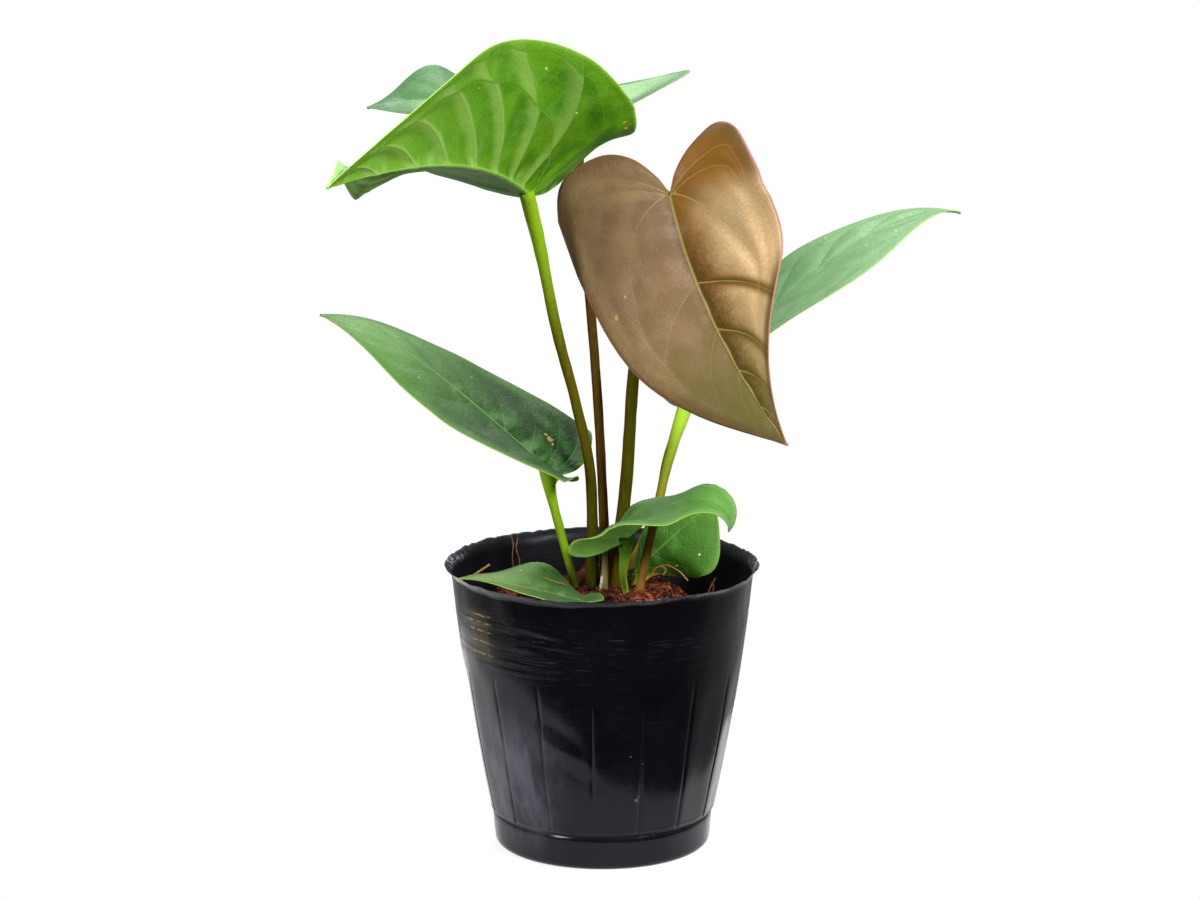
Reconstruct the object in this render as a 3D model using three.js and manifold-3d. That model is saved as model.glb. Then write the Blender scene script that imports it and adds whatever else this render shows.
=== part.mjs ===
// A young anthurium hybrid with heart-shaped leaves, growing in coir in a thin black nursery pot.
// Millimetres, +Z up. The origin is the middle of the pot's underside, and -Y is the plant's front.
import * as THREE from 'three';
import { mergeVertices } from 'three/addons/utils/BufferGeometryUtils.js';
import Module from 'manifold-3d';

const wasm = await Module();
wasm.setup();

// Driving dimensions of the pot
const POT_HEIGHT = 115;
const RIM_RADIUS = 62.5;
const POT_WALL = 0.9;
const FOOT_RADIUS = 41;
const SKIRT_RADIUS = 44;
const SKIRT_HEIGHT = 12.5;
const WALL_FOOT_RADIUS = 44.6;
const WALL_TOP_RADIUS = 60;
const WALL_TOP = 111;
const RIB_COUNT = 16;
const RIB_TOP = 80;
const RIB_DEPTH = 0.7;
const RIB_HALF_WIDTH = 1.3 / 56;
const FRONT_RIB_ANGLE = -94.6;
const RIDGE_COUNT = 4;
const RIDGE_FIRST = 84;
const RIDGE_PITCH = 5;
const RIDGE_HEIGHT = 0.35;
const DRAIN_HOLES = 6;
const DRAIN_RADIUS = 4;
const DRAIN_CIRCLE = 30;

// Driving dimensions of the coir, the stem base and the gaps between pieces
const GAP = 0.3;
const SLIVER = 0.02;
const COIR_TOP = 103.5;
const COIR_CLEAR = 0.4;
const COIR_FALL = 13;
const COIR_DIP = 7;
const COIR_LUMP = 1.1;
const COIR_RINGS = 9;
const COIR_SECTORS = 32;
const CROWN_TOP = 95.5;
const CROWN_HEIGHT = 34;
const CROWN_RADIUS = 17;
const ROOT_RADIUS = 1.8;
const ROOT_COUNT = 5;

// Driving dimensions of the leaves
const BLADE = 0.7;
const JOINT_SHARE = 0.42;
const LATE_STATION = 0.75;
const VEIN_LEAN = 1.3;
const STALK_SEAT = 3;
const STALK_SIDES = 8;

// Half of a flat blade's edge from the junction round the lobe to the tip. The first number is a share of
// the lobe's length behind the junction, or of the blade's length ahead of it, and the second of half the
// width.
const HEART = [
  [0, 0], [-0.42, 0.1], [-0.86, 0.3], [-1, 0.55], [-0.66, 0.86], [0.02, 0.995],
  [0.2, 0.99], [0.42, 0.86], [0.62, 0.63], [0.8, 0.36], [0.92, 0.15], [1, 0],
];
const YOUNG = [
  [0, 0], [-0.5, 0.12], [-0.95, 0.32], [-0.75, 0.62], [0.06, 0.9],
  [0.3, 1], [0.52, 0.97], [0.72, 0.8], [0.88, 0.47], [1, 0],
];
const SPOON = [
  [0, 0], [-0.35, 0.1], [-0.6, 0.25], [0, 0.46], [0.22, 0.7], [0.42, 0.97],
  [0.55, 1], [0.68, 0.86], [0.8, 0.6], [0.9, 0.34], [1, 0],
];

// Every leaf: where its stalk meets it, its flat size, and how it is aimed, folded, curled and waved.
// heading, climb and bank are degrees at the junction and their change to the tip. A fold or curl is
// given at the lobe's end, the junction, the middle and the tip, and where there are five values also at
// LATE_STATION. A wave is its height, count and phase.
const LEAVES = {
  leaf_top: {
    at: [-28.7, -6, 263.7], length: 131, left: 55, right: 55, lobe: 34, lobeLift: 35,
    heading: [-111, -27], climb: [28, -42, 5], bank: [0, 12],
    foldLeft: [69, 60, 74, 46], foldRight: [2, 11, 0, -22, 90],
    curlLeft: [-57, -21, -1, 0], curlRight: [23, -2, -20, -2, 0],
    waveLeft: [6.6, 1.6, -0.4], waveRight: [-1.5, 1.8, -0.3], colour: 0x5f9a24,
  },
  leaf_rear: {
    at: [-7.6, 40.5, 298.6], length: 87, left: 41, right: 53, lobe: 40, lobeLift: 16,
    heading: [186, -10], climb: [-7, 16, -21], bank: [13, -13],
    foldLeft: [-16, -19, -8, -16], foldRight: [-4, 4, 3, 31, 8],
    curlLeft: [2, 1, 0, 0], curlRight: [0, 0, 0, 0],
    waveLeft: [1.6, 2, 0.1], waveRight: [-3.5, 3.3, -0.2], colour: 0x6c9a5c,
  },
  leaf_bronze: {
    at: [26.5, -14, 265], length: 116, left: 51, right: 53, lobe: 21, lobeLift: -22,
    heading: [-45, -14], climb: [-73, 50, -9], bank: [75, 23],
    foldLeft: [1, 19, 1, 14], foldRight: [0, 4, 7, -18],
    curlLeft: [40, 0, -14, -14], curlRight: [13, -7, 2, 2],
    waveLeft: [2.3, 1.4, -0.6], waveRight: [-2.8, 1.4, -0.2], colour: 0x8d6b48,
  },
  leaf_right: {
    at: [32.6, 34, 172.3], length: 151, left: 44, right: 46, lobe: 9, lobeLift: 30,
    heading: [10, 24], climb: [47, -12, -48], bank: [-14, 12],
    foldLeft: [70, 10, 2, 10], foldRight: [85, 12, -8, 7],
    curlLeft: [8, 0, 6, -18], curlRight: [11, -2, 6, -14],
    waveLeft: [2.9, 2, 0.1], waveRight: [3.5, 1.8, 0.5], colour: 0x5fa366,
  },
  leaf_left: {
    at: [-20, 0, 151.2], length: 113, left: 37, right: 37, lobe: 11, lobeLift: 21,
    heading: [-179, -7], climb: [42, 2, -34], bank: [-16, 2],
    foldLeft: [39, 33, -2, 0], foldRight: [23, 17, -5, 1],
    curlLeft: [-6, -7, 2, -11], curlRight: [-4, -4, -2, -15],
    waveLeft: [-3.1, 1.7, 0], waveRight: [-2.4, 1.6, 0], colour: 0x35602f,
  },
  leaf_small_front: {
    at: [7.3, -22, 128.5], length: 57, left: 23, right: 20, lobe: 20, lobeLift: 15, small: true,
    heading: [1, -10], climb: [42, -8, -148], bank: [4, 9],
    foldLeft: [20, 4, -4, 28], foldRight: [67, 77, -7, -8],
    curlLeft: [4, -9, -5, 4], curlRight: [-5, -62, -13, 4],
    waveLeft: [-3, 1.9, 0], waveRight: [-3.5, 1.2, 0], colour: 0x47803a,
  },
  leaf_old_low: {
    at: [15.1, 12.8, 109.9], length: 40, left: 13, right: 21, lobe: 8, lobeLift: 0,
    small: true, edge: SPOON,
    heading: [12, -2], climb: [42, -5, 5], bank: [73, -4],
    foldLeft: [0, 0, 0, 0], foldRight: [8, -45, 6, 0],
    curlLeft: [0, 0, 0, 0], curlRight: [2, -9, 4, 0],
    waveLeft: [0, 1, 0], waveRight: [0, 1, 0], colour: 0x55913a,
  },
  leaf_rim: {
    at: [-8.9, -24, 104.9], length: 49, left: 19, right: 18, lobe: 10, lobeLift: 0,
    small: true, edge: YOUNG,
    heading: [-176, 4], climb: [17, -7, -4], bank: [4, 2],
    foldLeft: [0, -3, 0, 8], foldRight: [28, 4, 29, 0],
    curlLeft: [0, 0, 0, 0], curlRight: [-1, -9, -1, -11],
    waveLeft: [0, 1, 0], waveRight: [-4, 1.4, -0.7], colour: 0x4f8f3a,
  },
};

// Every leaf stalk: the leaf that it carries, points up its middle from the crown, and radii from foot to
// top
const STALKS = {
  petiole_top: {
    leaf: 'leaf_top', radii: [2.9, 2.2, 2.0, 2.2, 3.0], colour: 0x7f9a28,
    path: [[-4.4, 3, 92], [-4.2, 3, 106], [-5, 1.6, 152], [-10.9, 0, 181], [-18, -2, 209], [-25, -4.6, 245]],
  },
  petiole_rear: {
    leaf: 'leaf_rear', radii: [2.6, 1.9, 1.9, 1.9, 2.4], colour: 0x40301a,
    path: [[1.6, 9.4, 92], [1.4, 9.6, 106], [-0.2, 13, 146], [-2, 19, 178], [-4.6, 27, 211], [-8.4, 34.5, 250]],
  },
  petiole_bronze: {
    leaf: 'leaf_bronze', radii: [3.0, 2.6, 2.4, 2.2, 2.6], colour: 0x575614,
    path: [
      [3.8, 3.8, 92], [4.6, 4, 104], [7.8, 4.6, 131], [9.8, 2.6, 151.4], [12.4, -2.6, 193], [17.7, -8, 231],
    ],
  },
  petiole_right: {
    leaf: 'leaf_right', radii: [2.0, 1.7, 1.8, 2.3, 3.2], colour: 0x6b5a20,
    path: [[14, 0, 92], [15, 0.2, 104], [19.8, 3.5, 127], [23, 8, 140], [26.3, 16, 153]],
  },
  petiole_left: {
    leaf: 'leaf_left', radii: [2.0, 1.7, 1.7, 1.9, 3.2], colour: 0x7fa034,
    path: [[-10.6, 2, 92], [-11.2, 2, 104], [-17, 1.3, 128], [-20.4, 0.6, 142]],
  },
  petiole_small_front: {
    leaf: 'leaf_small_front', radii: [1.6, 1.3, 1.4, 2.0, 3.4], colour: 0x7fa034,
    path: [[8.6, -4.6, 92], [9.2, -6.4, 104], [8.2, -15, 114]],
  },
  petiole_old_low: {
    leaf: 'leaf_old_low', radii: [1.8, 1.5, 1.3, 1.2, 1.3], colour: 0x6f8a30,
    path: [[10.6, 7, 92], [12, 8.4, 101]],
  },
  petiole_rim: {
    leaf: 'leaf_rim', radii: [1.8, 1.5, 1.4, 1.4, 1.6], colour: 0x6f8a30,
    path: [[-5.6, -7.6, 92], [-6.6, -11, 99]],
  },
};

// The new shoot, still rolled in its sheath, beside the tallest stalks
const SHOOT = {
  radii: [2.2, 1.7, 1.2, 0.5], colour: 0x9aa65a,
  path: [[0.2, -2.4, 92], [0.6, -1.8, 104], [1, 0.6, 116], [1.6, 2.6, 128]],
};

const degrees = Math.PI / 180;

function material(colour, roughness) {
  return new THREE.MeshStandardMaterial({ color: colour, roughness, metalness: 0 });
}

function ease(share) {
  const t = Math.min(1, Math.max(0, share));
  return t * t * (3 - 2 * t);
}

// Pseudo-random numbers from 0 to 1 that are the same in every run
function seeded(seed) {
  let state = seed;
  return () => {
    state = (state * 1664525 + 1013904223) % 4294967296;
    return state / 4294967296;
  };
}

// A closed body from points and triangles
function body(points, triangles) {
  const geometry = new THREE.BufferGeometry();
  const places = new Float32Array(points.flatMap((p) => [p.x, p.y, p.z]));
  geometry.setAttribute('position', new THREE.BufferAttribute(places, 3));
  geometry.setIndex(triangles.flat());
  return geometry;
}

function toSolid(geometry) {
  const bare = geometry.clone();
  bare.deleteAttribute('normal');
  bare.deleteAttribute('uv');
  const merged = mergeVertices(bare, 1e-4);
  return new wasm.Manifold(new wasm.Mesh({
    numProp: 3,
    vertProperties: new Float32Array(merged.attributes.position.array),
    triVerts: new Uint32Array(merged.index.array),
  }));
}

// A geometry of the solid, without the slivers that a cut leaves
function fromSolid(solid) {
  const mesh = solid.simplify(SLIVER).getMesh();
  const geometry = new THREE.BufferGeometry();
  geometry.setAttribute('position', new THREE.BufferAttribute(new Float32Array(mesh.vertProperties), 3));
  geometry.setIndex(new THREE.BufferAttribute(new Uint32Array(mesh.triVerts), 1));
  return geometry;
}

// The largest of the bodies that a cut leaves
function largest(solid) {
  const parts = solid.decompose();
  return parts.reduce((best, part) => (part.volume() > best.volume() ? part : best));
}

// Fold, curl or other value at a distance x ahead of the junction
function valueAlong(values, x, leaf) {
  const stations = [-leaf.lobe, 0, 0.45 * leaf.length, leaf.length];
  if (values.length > stations.length) stations.splice(3, 0, LATE_STATION * leaf.length);
  let value = values[0];
  for (let i = 0; i < values.length - 1; i += 1) {
    const share = (x - stations[i]) / (stations[i + 1] - stations[i]);
    value += (values[i + 1] - values[i]) * ease(share);
  }
  return value;
}

// Tangent, left side and upper side of the midrib at a distance x ahead of the junction
function midribAxes(leaf, x) {
  const share = Math.max(0, x) / leaf.length;
  const heading = (leaf.heading[0] + leaf.heading[1] * share) * degrees;
  const climb = (leaf.climb[0] + leaf.climb[1] * share + leaf.climb[2] * share ** 3) * degrees;
  const bank = (leaf.bank[0] + leaf.bank[1] * share) * degrees;
  const tangent = new THREE.Vector3(
    Math.cos(climb) * Math.cos(heading), Math.cos(climb) * Math.sin(heading), Math.sin(climb));
  const level = new THREE.Vector3(-Math.sin(heading), Math.cos(heading), 0);
  const above = tangent.clone().cross(level);
  const side = level.clone().multiplyScalar(Math.cos(bank)).addScaledVector(above, Math.sin(bank));
  const up = above.multiplyScalar(Math.cos(bank)).addScaledVector(level, -Math.sin(bank));
  return { tangent, side, up };
}

// Place and axes at x; behind the junction the lobes lift in an arc
function midribFrame(leaf, x) {
  const steps = 60;
  const ahead = Math.max(0, x);
  const point = new THREE.Vector3(...leaf.at);
  for (let i = 0; i < steps; i += 1) {
    point.addScaledVector(midribAxes(leaf, (ahead * (i + 0.5)) / steps).tangent, ahead / steps);
  }
  const axes = midribAxes(leaf, ahead);
  const behind = Math.max(0, -x);
  const turn = (leaf.lobeLift * degrees * behind) / leaf.lobe;
  const reach = Math.abs(turn) < 1e-6 ? behind : (behind * Math.sin(turn)) / turn;
  const rise = Math.abs(turn) < 1e-6 ? 0 : (behind * (1 - Math.cos(turn))) / turn;
  point.addScaledVector(axes.tangent, -reach).addScaledVector(axes.up, rise);
  const up = axes.up.clone().multiplyScalar(Math.cos(turn)).addScaledVector(axes.tangent, Math.sin(turn));
  return { point, side: axes.side, up };
}

// A point of the blade from its flat place: x ahead of the junction, y from the midrib, hand 1 left or
// -1 right
function bladePoint(leaf, x, y, hand) {
  const { point, side, up } = midribFrame(leaf, x);
  const half = hand > 0 ? leaf.left : leaf.right;
  const fold = valueAlong(hand > 0 ? leaf.foldLeft : leaf.foldRight, x, leaf) * degrees;
  const curl = (valueAlong(hand > 0 ? leaf.curlLeft : leaf.curlRight, x, leaf) * degrees) / half;
  const bend = Math.abs(curl) < 1e-6 ? 1e-6 : curl;
  const out = (Math.sin(fold + bend * y) - Math.sin(fold)) / bend;
  const lift = (Math.cos(fold) - Math.cos(fold + bend * y)) / bend;
  point.addScaledVector(side, hand * out).addScaledVector(up, lift);
  const [height, count, phase] = hand > 0 ? leaf.waveLeft : leaf.waveRight;
  const cycle = (count * (x + leaf.lobe)) / (leaf.length + leaf.lobe) + phase;
  const wave = height * (y / half) ** 2 * Math.sin(2 * Math.PI * cycle);
  const tilt = fold + bend * y;
  point.addScaledVector(up, wave * Math.cos(tilt));
  return point.addScaledVector(side, -hand * wave * Math.sin(tilt));
}

// The flat edge of half a blade at a share of the way from the junction round to the tip
function edgePoint(leaf, share, hand) {
  const points = leaf.edge ?? HEART;
  const place = share * (points.length - 1);
  const first = Math.min(Math.floor(place), points.length - 2);
  const t = place - first;
  const at = (i, axis) => {
    if (i < 0) return 2 * points[0][axis] - points[1][axis];
    if (i >= points.length) return 2 * points.at(-1)[axis] - points.at(-2)[axis];
    return points[i][axis];
  };
  const blend = (axis) => {
    const [a, b, c, d] = [-1, 0, 1, 2].map((step) => at(first + step, axis));
    const square = 2 * a - 5 * b + 4 * c - d;
    const cube = 3 * b - a - 3 * c + d;
    return 0.5 * (2 * b + (c - a) * t + square * t * t + cube * t ** 3);
  };
  const x = blend(0);
  const half = hand > 0 ? leaf.left : leaf.right;
  return { x: x < 0 ? x * leaf.lobe : x * leaf.length, y: Math.max(0, blend(1)) * half };
}

// The blade's middle surface: lines of points that fan out from the junction and then leave the midrib
// like lateral veins, in triangles, with its edge as a loop of point numbers
function bladeSheet(leaf) {
  const lines = leaf.small ? 13 : 20;
  const columns = leaf.small ? 4 : 6;
  const points = [];
  const numbers = new Map();
  const triangles = [];
  const numbered = (hand, line, column) => {
    const share = line / lines;
    const start = leaf.length * (Math.max(0, share - JOINT_SHARE) / (1 - JOINT_SHARE)) ** VEIN_LEAN;
    const onMidrib = column === 0 || line === lines;
    const key = onMidrib ? `rib ${start.toFixed(4)}` : `${hand} ${line} ${column}`;
    if (!numbers.has(key)) {
      const edge = edgePoint(leaf, share, hand);
      const across = column / columns;
      const x = onMidrib ? start : start + (edge.x - start) * across;
      points.push(bladePoint(leaf, x, onMidrib ? 0 : edge.y * across, hand));
      numbers.set(key, points.length - 1);
    }
    return numbers.get(key);
  };
  for (const hand of [1, -1]) {
    for (let line = 1; line < lines; line += 1) {
      for (let column = 0; column < columns; column += 1) {
        const near = [numbered(hand, line, column), numbered(hand, line, column + 1)];
        const far = [numbered(hand, line + 1, column), numbered(hand, line + 1, column + 1)];
        for (const corners of [[near[0], near[1], far[1]], [near[0], far[1], far[0]]]) {
          const turned = hand > 0 ? [corners[0], corners[2], corners[1]] : corners;
          if (new Set(turned).size === 3) triangles.push(turned);
        }
      }
    }
  }
  const loop = [];
  for (let column = 0; column < columns; column += 1) loop.push(numbered(1, 1, column));
  for (let line = 1; line < lines; line += 1) loop.push(numbered(1, line, columns));
  loop.push(numbered(1, lines, columns));
  for (let line = lines - 1; line >= 1; line -= 1) loop.push(numbered(-1, line, columns));
  for (let column = columns - 1; column > 0; column -= 1) loop.push(numbered(-1, 1, column));
  return { points, triangles, loop };
}

// The sheet thickened evenly to both sides, with its two faces split alike, and its edge moved out
function thicken({ points, triangles, loop }, thickness, outset = 0) {
  const normals = points.map(() => new THREE.Vector3());
  for (const [a, b, c] of triangles) {
    const normal = points[b].clone().sub(points[a]).cross(points[c].clone().sub(points[a]));
    for (const corner of [a, b, c]) normals[corner].add(normal);
  }
  for (const normal of normals) normal.normalize();
  const placed = points.map((p) => p.clone());
  loop.forEach((here, i) => {
    const run = points[loop[(i + 1) % loop.length]].clone().sub(points[loop.at(i - 1)]).normalize();
    placed[here].addScaledVector(normals[here].clone().cross(run).normalize(), outset);
  });
  const shifted = (amount) => placed.map((p, i) => p.clone().addScaledVector(normals[i], amount));
  const count = points.length;
  const faces = triangles.flatMap(([a, b, c]) => [[a, b, c], [a + count, c + count, b + count]]);
  loop.forEach((from, i) => {
    const to = loop[(i + 1) % loop.length];
    faces.push([from, to + count, from + count], [from, to, to + count]);
  });
  return body([...shifted(thickness / 2), ...shifted(-thickness / 2)], faces);
}

// The blade with a gap all round it, and a bead at the junction, where its edges meet in a notch
function bladeRoom(leaf) {
  const bead = new THREE.IcosahedronGeometry(BLADE + 2 * GAP, 1);
  bead.translate(...leaf.at);
  return toSolid(thicken(bladeSheet(leaf), BLADE + 2 * GAP, 2 * GAP)).add(toSolid(bead));
}

// A stalk of changing radius along a smooth path, closed at both ends
function stalkBody(path, radii, sides, steps) {
  const curve = new THREE.CatmullRomCurve3(path.map((p) => new THREE.Vector3(...p)), false, 'centripetal');
  const frames = curve.computeFrenetFrames(steps, false);
  const points = [];
  const faces = [];
  for (let step = 0; step <= steps; step += 1) {
    const share = step / steps;
    const place = share * (radii.length - 1);
    const first = Math.min(Math.floor(place), radii.length - 2);
    const radius = radii[first] + (radii[first + 1] - radii[first]) * ease(place - first);
    const centre = curve.getPointAt(share);
    for (let side = 0; side < sides; side += 1) {
      const angle = (2 * Math.PI * side) / sides;
      points.push(centre.clone()
        .addScaledVector(frames.normals[step], radius * Math.cos(angle))
        .addScaledVector(frames.binormals[step], radius * Math.sin(angle)));
    }
  }
  for (let step = 0; step < steps; step += 1) {
    for (let side = 0; side < sides; side += 1) {
      const here = step * sides + side;
      const beside = step * sides + ((side + 1) % sides);
      faces.push([here, beside, beside + sides], [here, beside + sides, here + sides]);
    }
  }
  const foot = points.push(curve.getPointAt(0)) - 1;
  const top = points.push(curve.getPointAt(1)) - 1;
  for (let side = 0; side < sides; side += 1) {
    const beside = (side + 1) % sides;
    faces.push([foot, beside, side], [top, steps * sides + side, steps * sides + beside]);
  }
  return body(points, faces);
}

// A ring grid round +Z from rows of points; the first and last rows are single points on the axis
function turnedBody(rows) {
  const points = [];
  const starts = rows.map((row) => {
    points.push(...row);
    return points.length - row.length;
  });
  const faces = [];
  for (let r = 0; r + 1 < rows.length; r += 1) {
    const count = Math.max(rows[r].length, rows[r + 1].length);
    for (let i = 0; i < count; i += 1) {
      const next = (i + 1) % count;
      const a = starts[r] + (rows[r].length === 1 ? 0 : i);
      const b = starts[r] + (rows[r].length === 1 ? 0 : next);
      const c = starts[r + 1] + (rows[r + 1].length === 1 ? 0 : next);
      const d = starts[r + 1] + (rows[r + 1].length === 1 ? 0 : i);
      if (a !== b) faces.push([a, b, c]);
      if (c !== d) faces.push([a, c, d]);
    }
  }
  return body(points, faces);
}

// Four angles for each rib: its groove, the two sides of it and the middle of the panel
function potAngles() {
  const angles = [];
  for (let rib = 0; rib < RIB_COUNT; rib += 1) {
    const centre = FRONT_RIB_ANGLE * degrees + (rib * 2 * Math.PI) / RIB_COUNT;
    angles.push({ angle: centre, groove: 1 });
    for (const side of [RIB_HALF_WIDTH, Math.PI / RIB_COUNT, 2 * (Math.PI / RIB_COUNT) - RIB_HALF_WIDTH]) {
      angles.push({ angle: centre + side, groove: 0 });
    }
  }
  return angles;
}

function potWallRadius(z) {
  const share = (z - SKIRT_HEIGHT) / (WALL_TOP - SKIRT_HEIGHT);
  return WALL_FOOT_RADIUS + (WALL_TOP_RADIUS - WALL_FOOT_RADIUS) * (share + 0.1 * Math.sin(Math.PI * share));
}

// The lip is cut by hand: it wavers in height and stands out a little further in places
function lipWaver(angle) {
  return 0.35 * Math.sin(5 * angle + 1) + 0.25 * Math.sin(11 * angle) + 0.2 * Math.sin(23 * angle + 2);
}

// Outside profile from the middle of the base up to the lip, then down the inside
function potProfile() {
  const outside = [
    { r: 0, z: 0 }, { r: FOOT_RADIUS - 4, z: 0 }, { r: FOOT_RADIUS, z: 0 },
    { r: FOOT_RADIUS + 1.6, z: 0.9 }, { r: FOOT_RADIUS + 2.3, z: 3 },
    { r: SKIRT_RADIUS, z: SKIRT_HEIGHT }, { r: SKIRT_RADIUS - 0.6, z: SKIRT_HEIGHT + 1.2 },
    { r: potWallRadius(SKIRT_HEIGHT + 2.6), z: SKIRT_HEIGHT + 2.6, rib: 1 },
  ];
  for (const z of [46, RIB_TOP - 2]) outside.push({ r: potWallRadius(z), z, rib: 1 });
  outside.push({ r: potWallRadius(RIB_TOP), z: RIB_TOP });
  for (let ridge = 0; ridge < RIDGE_COUNT; ridge += 1) {
    const z = RIDGE_FIRST + ridge * RIDGE_PITCH;
    outside.push({ r: potWallRadius(z) + RIDGE_HEIGHT, z });
    outside.push({ r: potWallRadius(z + RIDGE_PITCH / 2) - RIDGE_HEIGHT / 2, z: z + RIDGE_PITCH / 2 });
  }
  outside.push({ r: potWallRadius(108), z: 108 }, { r: RIM_RADIUS - 1, z: POT_HEIGHT - 2, lip: 1 });
  outside.push({ r: RIM_RADIUS, z: POT_HEIGHT - 0.9, lip: 1 });
  const inside = [{ r: RIM_RADIUS - 0.8, z: POT_HEIGHT - 0.6, lip: 1 }];
  for (const z of [107, 80, 46, SKIRT_HEIGHT + 2]) {
    inside.push({ r: potWallRadius(z) - POT_WALL - RIDGE_HEIGHT, z });
  }
  inside.push({ r: FOOT_RADIUS + 1.2, z: 3 }, { r: FOOT_RADIUS, z: POT_WALL }, { r: 0, z: POT_WALL });
  for (const point of inside) if (point.z > 16 && point.z < RIB_TOP) point.rib = 1;
  return [...outside, ...inside];
}

function potBody() {
  const angles = potAngles();
  const rows = potProfile().map(({ r, z, rib, lip }) => {
    if (r === 0) return [new THREE.Vector3(0, 0, z)];
    return angles.map(({ angle, groove }) => {
      const radius = r - (rib ? groove * RIB_DEPTH : 0) + (lip ? 0.4 * lipWaver(angle + 2) : 0);
      const height = z + (lip ? 0.5 * lipWaver(angle) : 0);
      return new THREE.Vector3(radius * Math.cos(angle), radius * Math.sin(angle), height);
    });
  });
  let solid = toSolid(turnedBody(rows));
  for (let hole = 0; hole < DRAIN_HOLES; hole += 1) {
    const angle = (hole * 2 * Math.PI) / DRAIN_HOLES;
    const drill = new THREE.CylinderGeometry(DRAIN_RADIUS, DRAIN_RADIUS, 8, 10);
    drill.rotateX(Math.PI / 2);
    drill.translate(DRAIN_CIRCLE * Math.cos(angle), DRAIN_CIRCLE * Math.sin(angle), 0);
    solid = solid.subtract(toSolid(drill));
  }
  return fromSolid(solid);
}

// A stubby crown with a few thick roots that spread down and out into the coir
function stemBaseBody(extra) {
  const crown = new THREE.LatheGeometry([
    new THREE.Vector2(0, CROWN_TOP - CROWN_HEIGHT - extra),
    new THREE.Vector2(4 + extra, CROWN_TOP - CROWN_HEIGHT - extra),
    new THREE.Vector2(7.5 + extra, CROWN_TOP - 20),
    new THREE.Vector2(CROWN_RADIUS - 4 + extra, CROWN_TOP - 8),
    new THREE.Vector2(CROWN_RADIUS + extra, CROWN_TOP - 3),
    new THREE.Vector2(CROWN_RADIUS - 1.5 + extra, CROWN_TOP + extra),
    new THREE.Vector2(0, CROWN_TOP + extra),
  ], 14);
  crown.rotateX(Math.PI / 2);
  let solid = toSolid(crown);
  for (let root = 0; root < ROOT_COUNT; root += 1) {
    const angle = (root * 2 * Math.PI) / ROOT_COUNT + 0.4;
    const drop = 1 + 0.3 * Math.sin(3 * root);
    const along = (out, z) => [out * Math.cos(angle + out / 60), out * Math.sin(angle + out / 60), z];
    const path = [
      along(3, CROWN_TOP - 16), along(12, CROWN_TOP - 24 * drop), along(24, CROWN_TOP - 42 * drop),
    ];
    path.push(along(31 + extra, CROWN_TOP - 62 * drop - extra));
    const radii = [ROOT_RADIUS, ROOT_RADIUS, ROOT_RADIUS * 0.8, ROOT_RADIUS * 0.5].map((r) => r + extra);
    solid = solid.add(toSolid(stalkBody(path, radii, 5, 5)));
  }
  return solid;
}

// The coir mound is highest by the stems, falls towards the wall and dips on the right
function coirHeight(x, y) {
  const out = Math.hypot(x, y) / RIM_RADIUS;
  const dip = ease((x - 22) / 22) * ease((y + 30) / 40);
  return COIR_TOP - COIR_FALL * out * out - COIR_DIP * dip;
}

function coirBody() {
  const random = seeded(7);
  const centre = new THREE.Vector3(0, 0, coirHeight(0, 0));
  const rows = [[new THREE.Vector3(0, 0, POT_WALL + COIR_CLEAR)]];
  const ring = (radius, height) => Array.from({ length: COIR_SECTORS }, (_, i) => {
    const angle = (i * 2 * Math.PI) / COIR_SECTORS;
    return new THREE.Vector3(radius * Math.cos(angle), radius * Math.sin(angle), height(angle));
  });
  const wallInside = (z) => potWallRadius(z) - POT_WALL - RIDGE_HEIGHT - RIB_DEPTH - COIR_CLEAR;
  rows.push(ring(FOOT_RADIUS - 1, () => POT_WALL + COIR_CLEAR));
  rows.push(ring(SKIRT_RADIUS - 2.8, () => SKIRT_HEIGHT));
  for (const z of [46, 80]) rows.push(ring(wallInside(z) - GAP, () => z));
  const edge = wallInside(88);
  for (let step = COIR_RINGS; step >= 1; step -= 1) {
    const radius = (edge * step) / COIR_RINGS;
    const lump = step > 2 ? COIR_LUMP : COIR_LUMP / 3;
    rows.push(ring(radius, (angle) => {
      const rough = lump * (2 * random() - 1);
      return coirHeight(radius * Math.cos(angle), radius * Math.sin(angle)) + rough;
    }));
  }
  rows.push([centre]);
  return toSolid(turnedBody(rows));
}

const group = new THREE.Group();

function addPiece(name, geometry, colour, roughness) {
  const mesh = new THREE.Mesh(geometry, material(colour, roughness));
  mesh.name = name;
  group.add(mesh);
}

addPiece('nursery_pot', potBody(), 0x16161a, 0.35);
addPiece('stem_base', fromSolid(stemBaseBody(0)), 0x8a7048, 0.8);

let coir = coirBody().subtract(stemBaseBody(2 * GAP));
const swollen = (radii) => radii.map((radius) => radius + GAP);

for (const [name, stalk] of Object.entries(STALKS)) {
  const leaf = LEAVES[stalk.leaf];
  const path = [...stalk.path, bladePoint(leaf, STALK_SEAT, 0, 1).toArray()];
  const steps = leaf.small ? 8 : 14;
  const keepOut = bladeRoom(leaf);
  const whole = toSolid(stalkBody(path, stalk.radii, STALK_SIDES, steps));
  const solid = largest(whole.subtract(keepOut).subtract(stemBaseBody(GAP)));
  const hole = toSolid(stalkBody(path, swollen(stalk.radii), STALK_SIDES, steps));
  coir = coir.subtract(hole).subtract(keepOut);
  addPiece(name, fromSolid(solid), stalk.colour, 0.45);
}

for (const [name, leaf] of Object.entries(LEAVES)) {
  addPiece(name, thicken(bladeSheet(leaf), BLADE), leaf.colour, 0.4);
}

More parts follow.
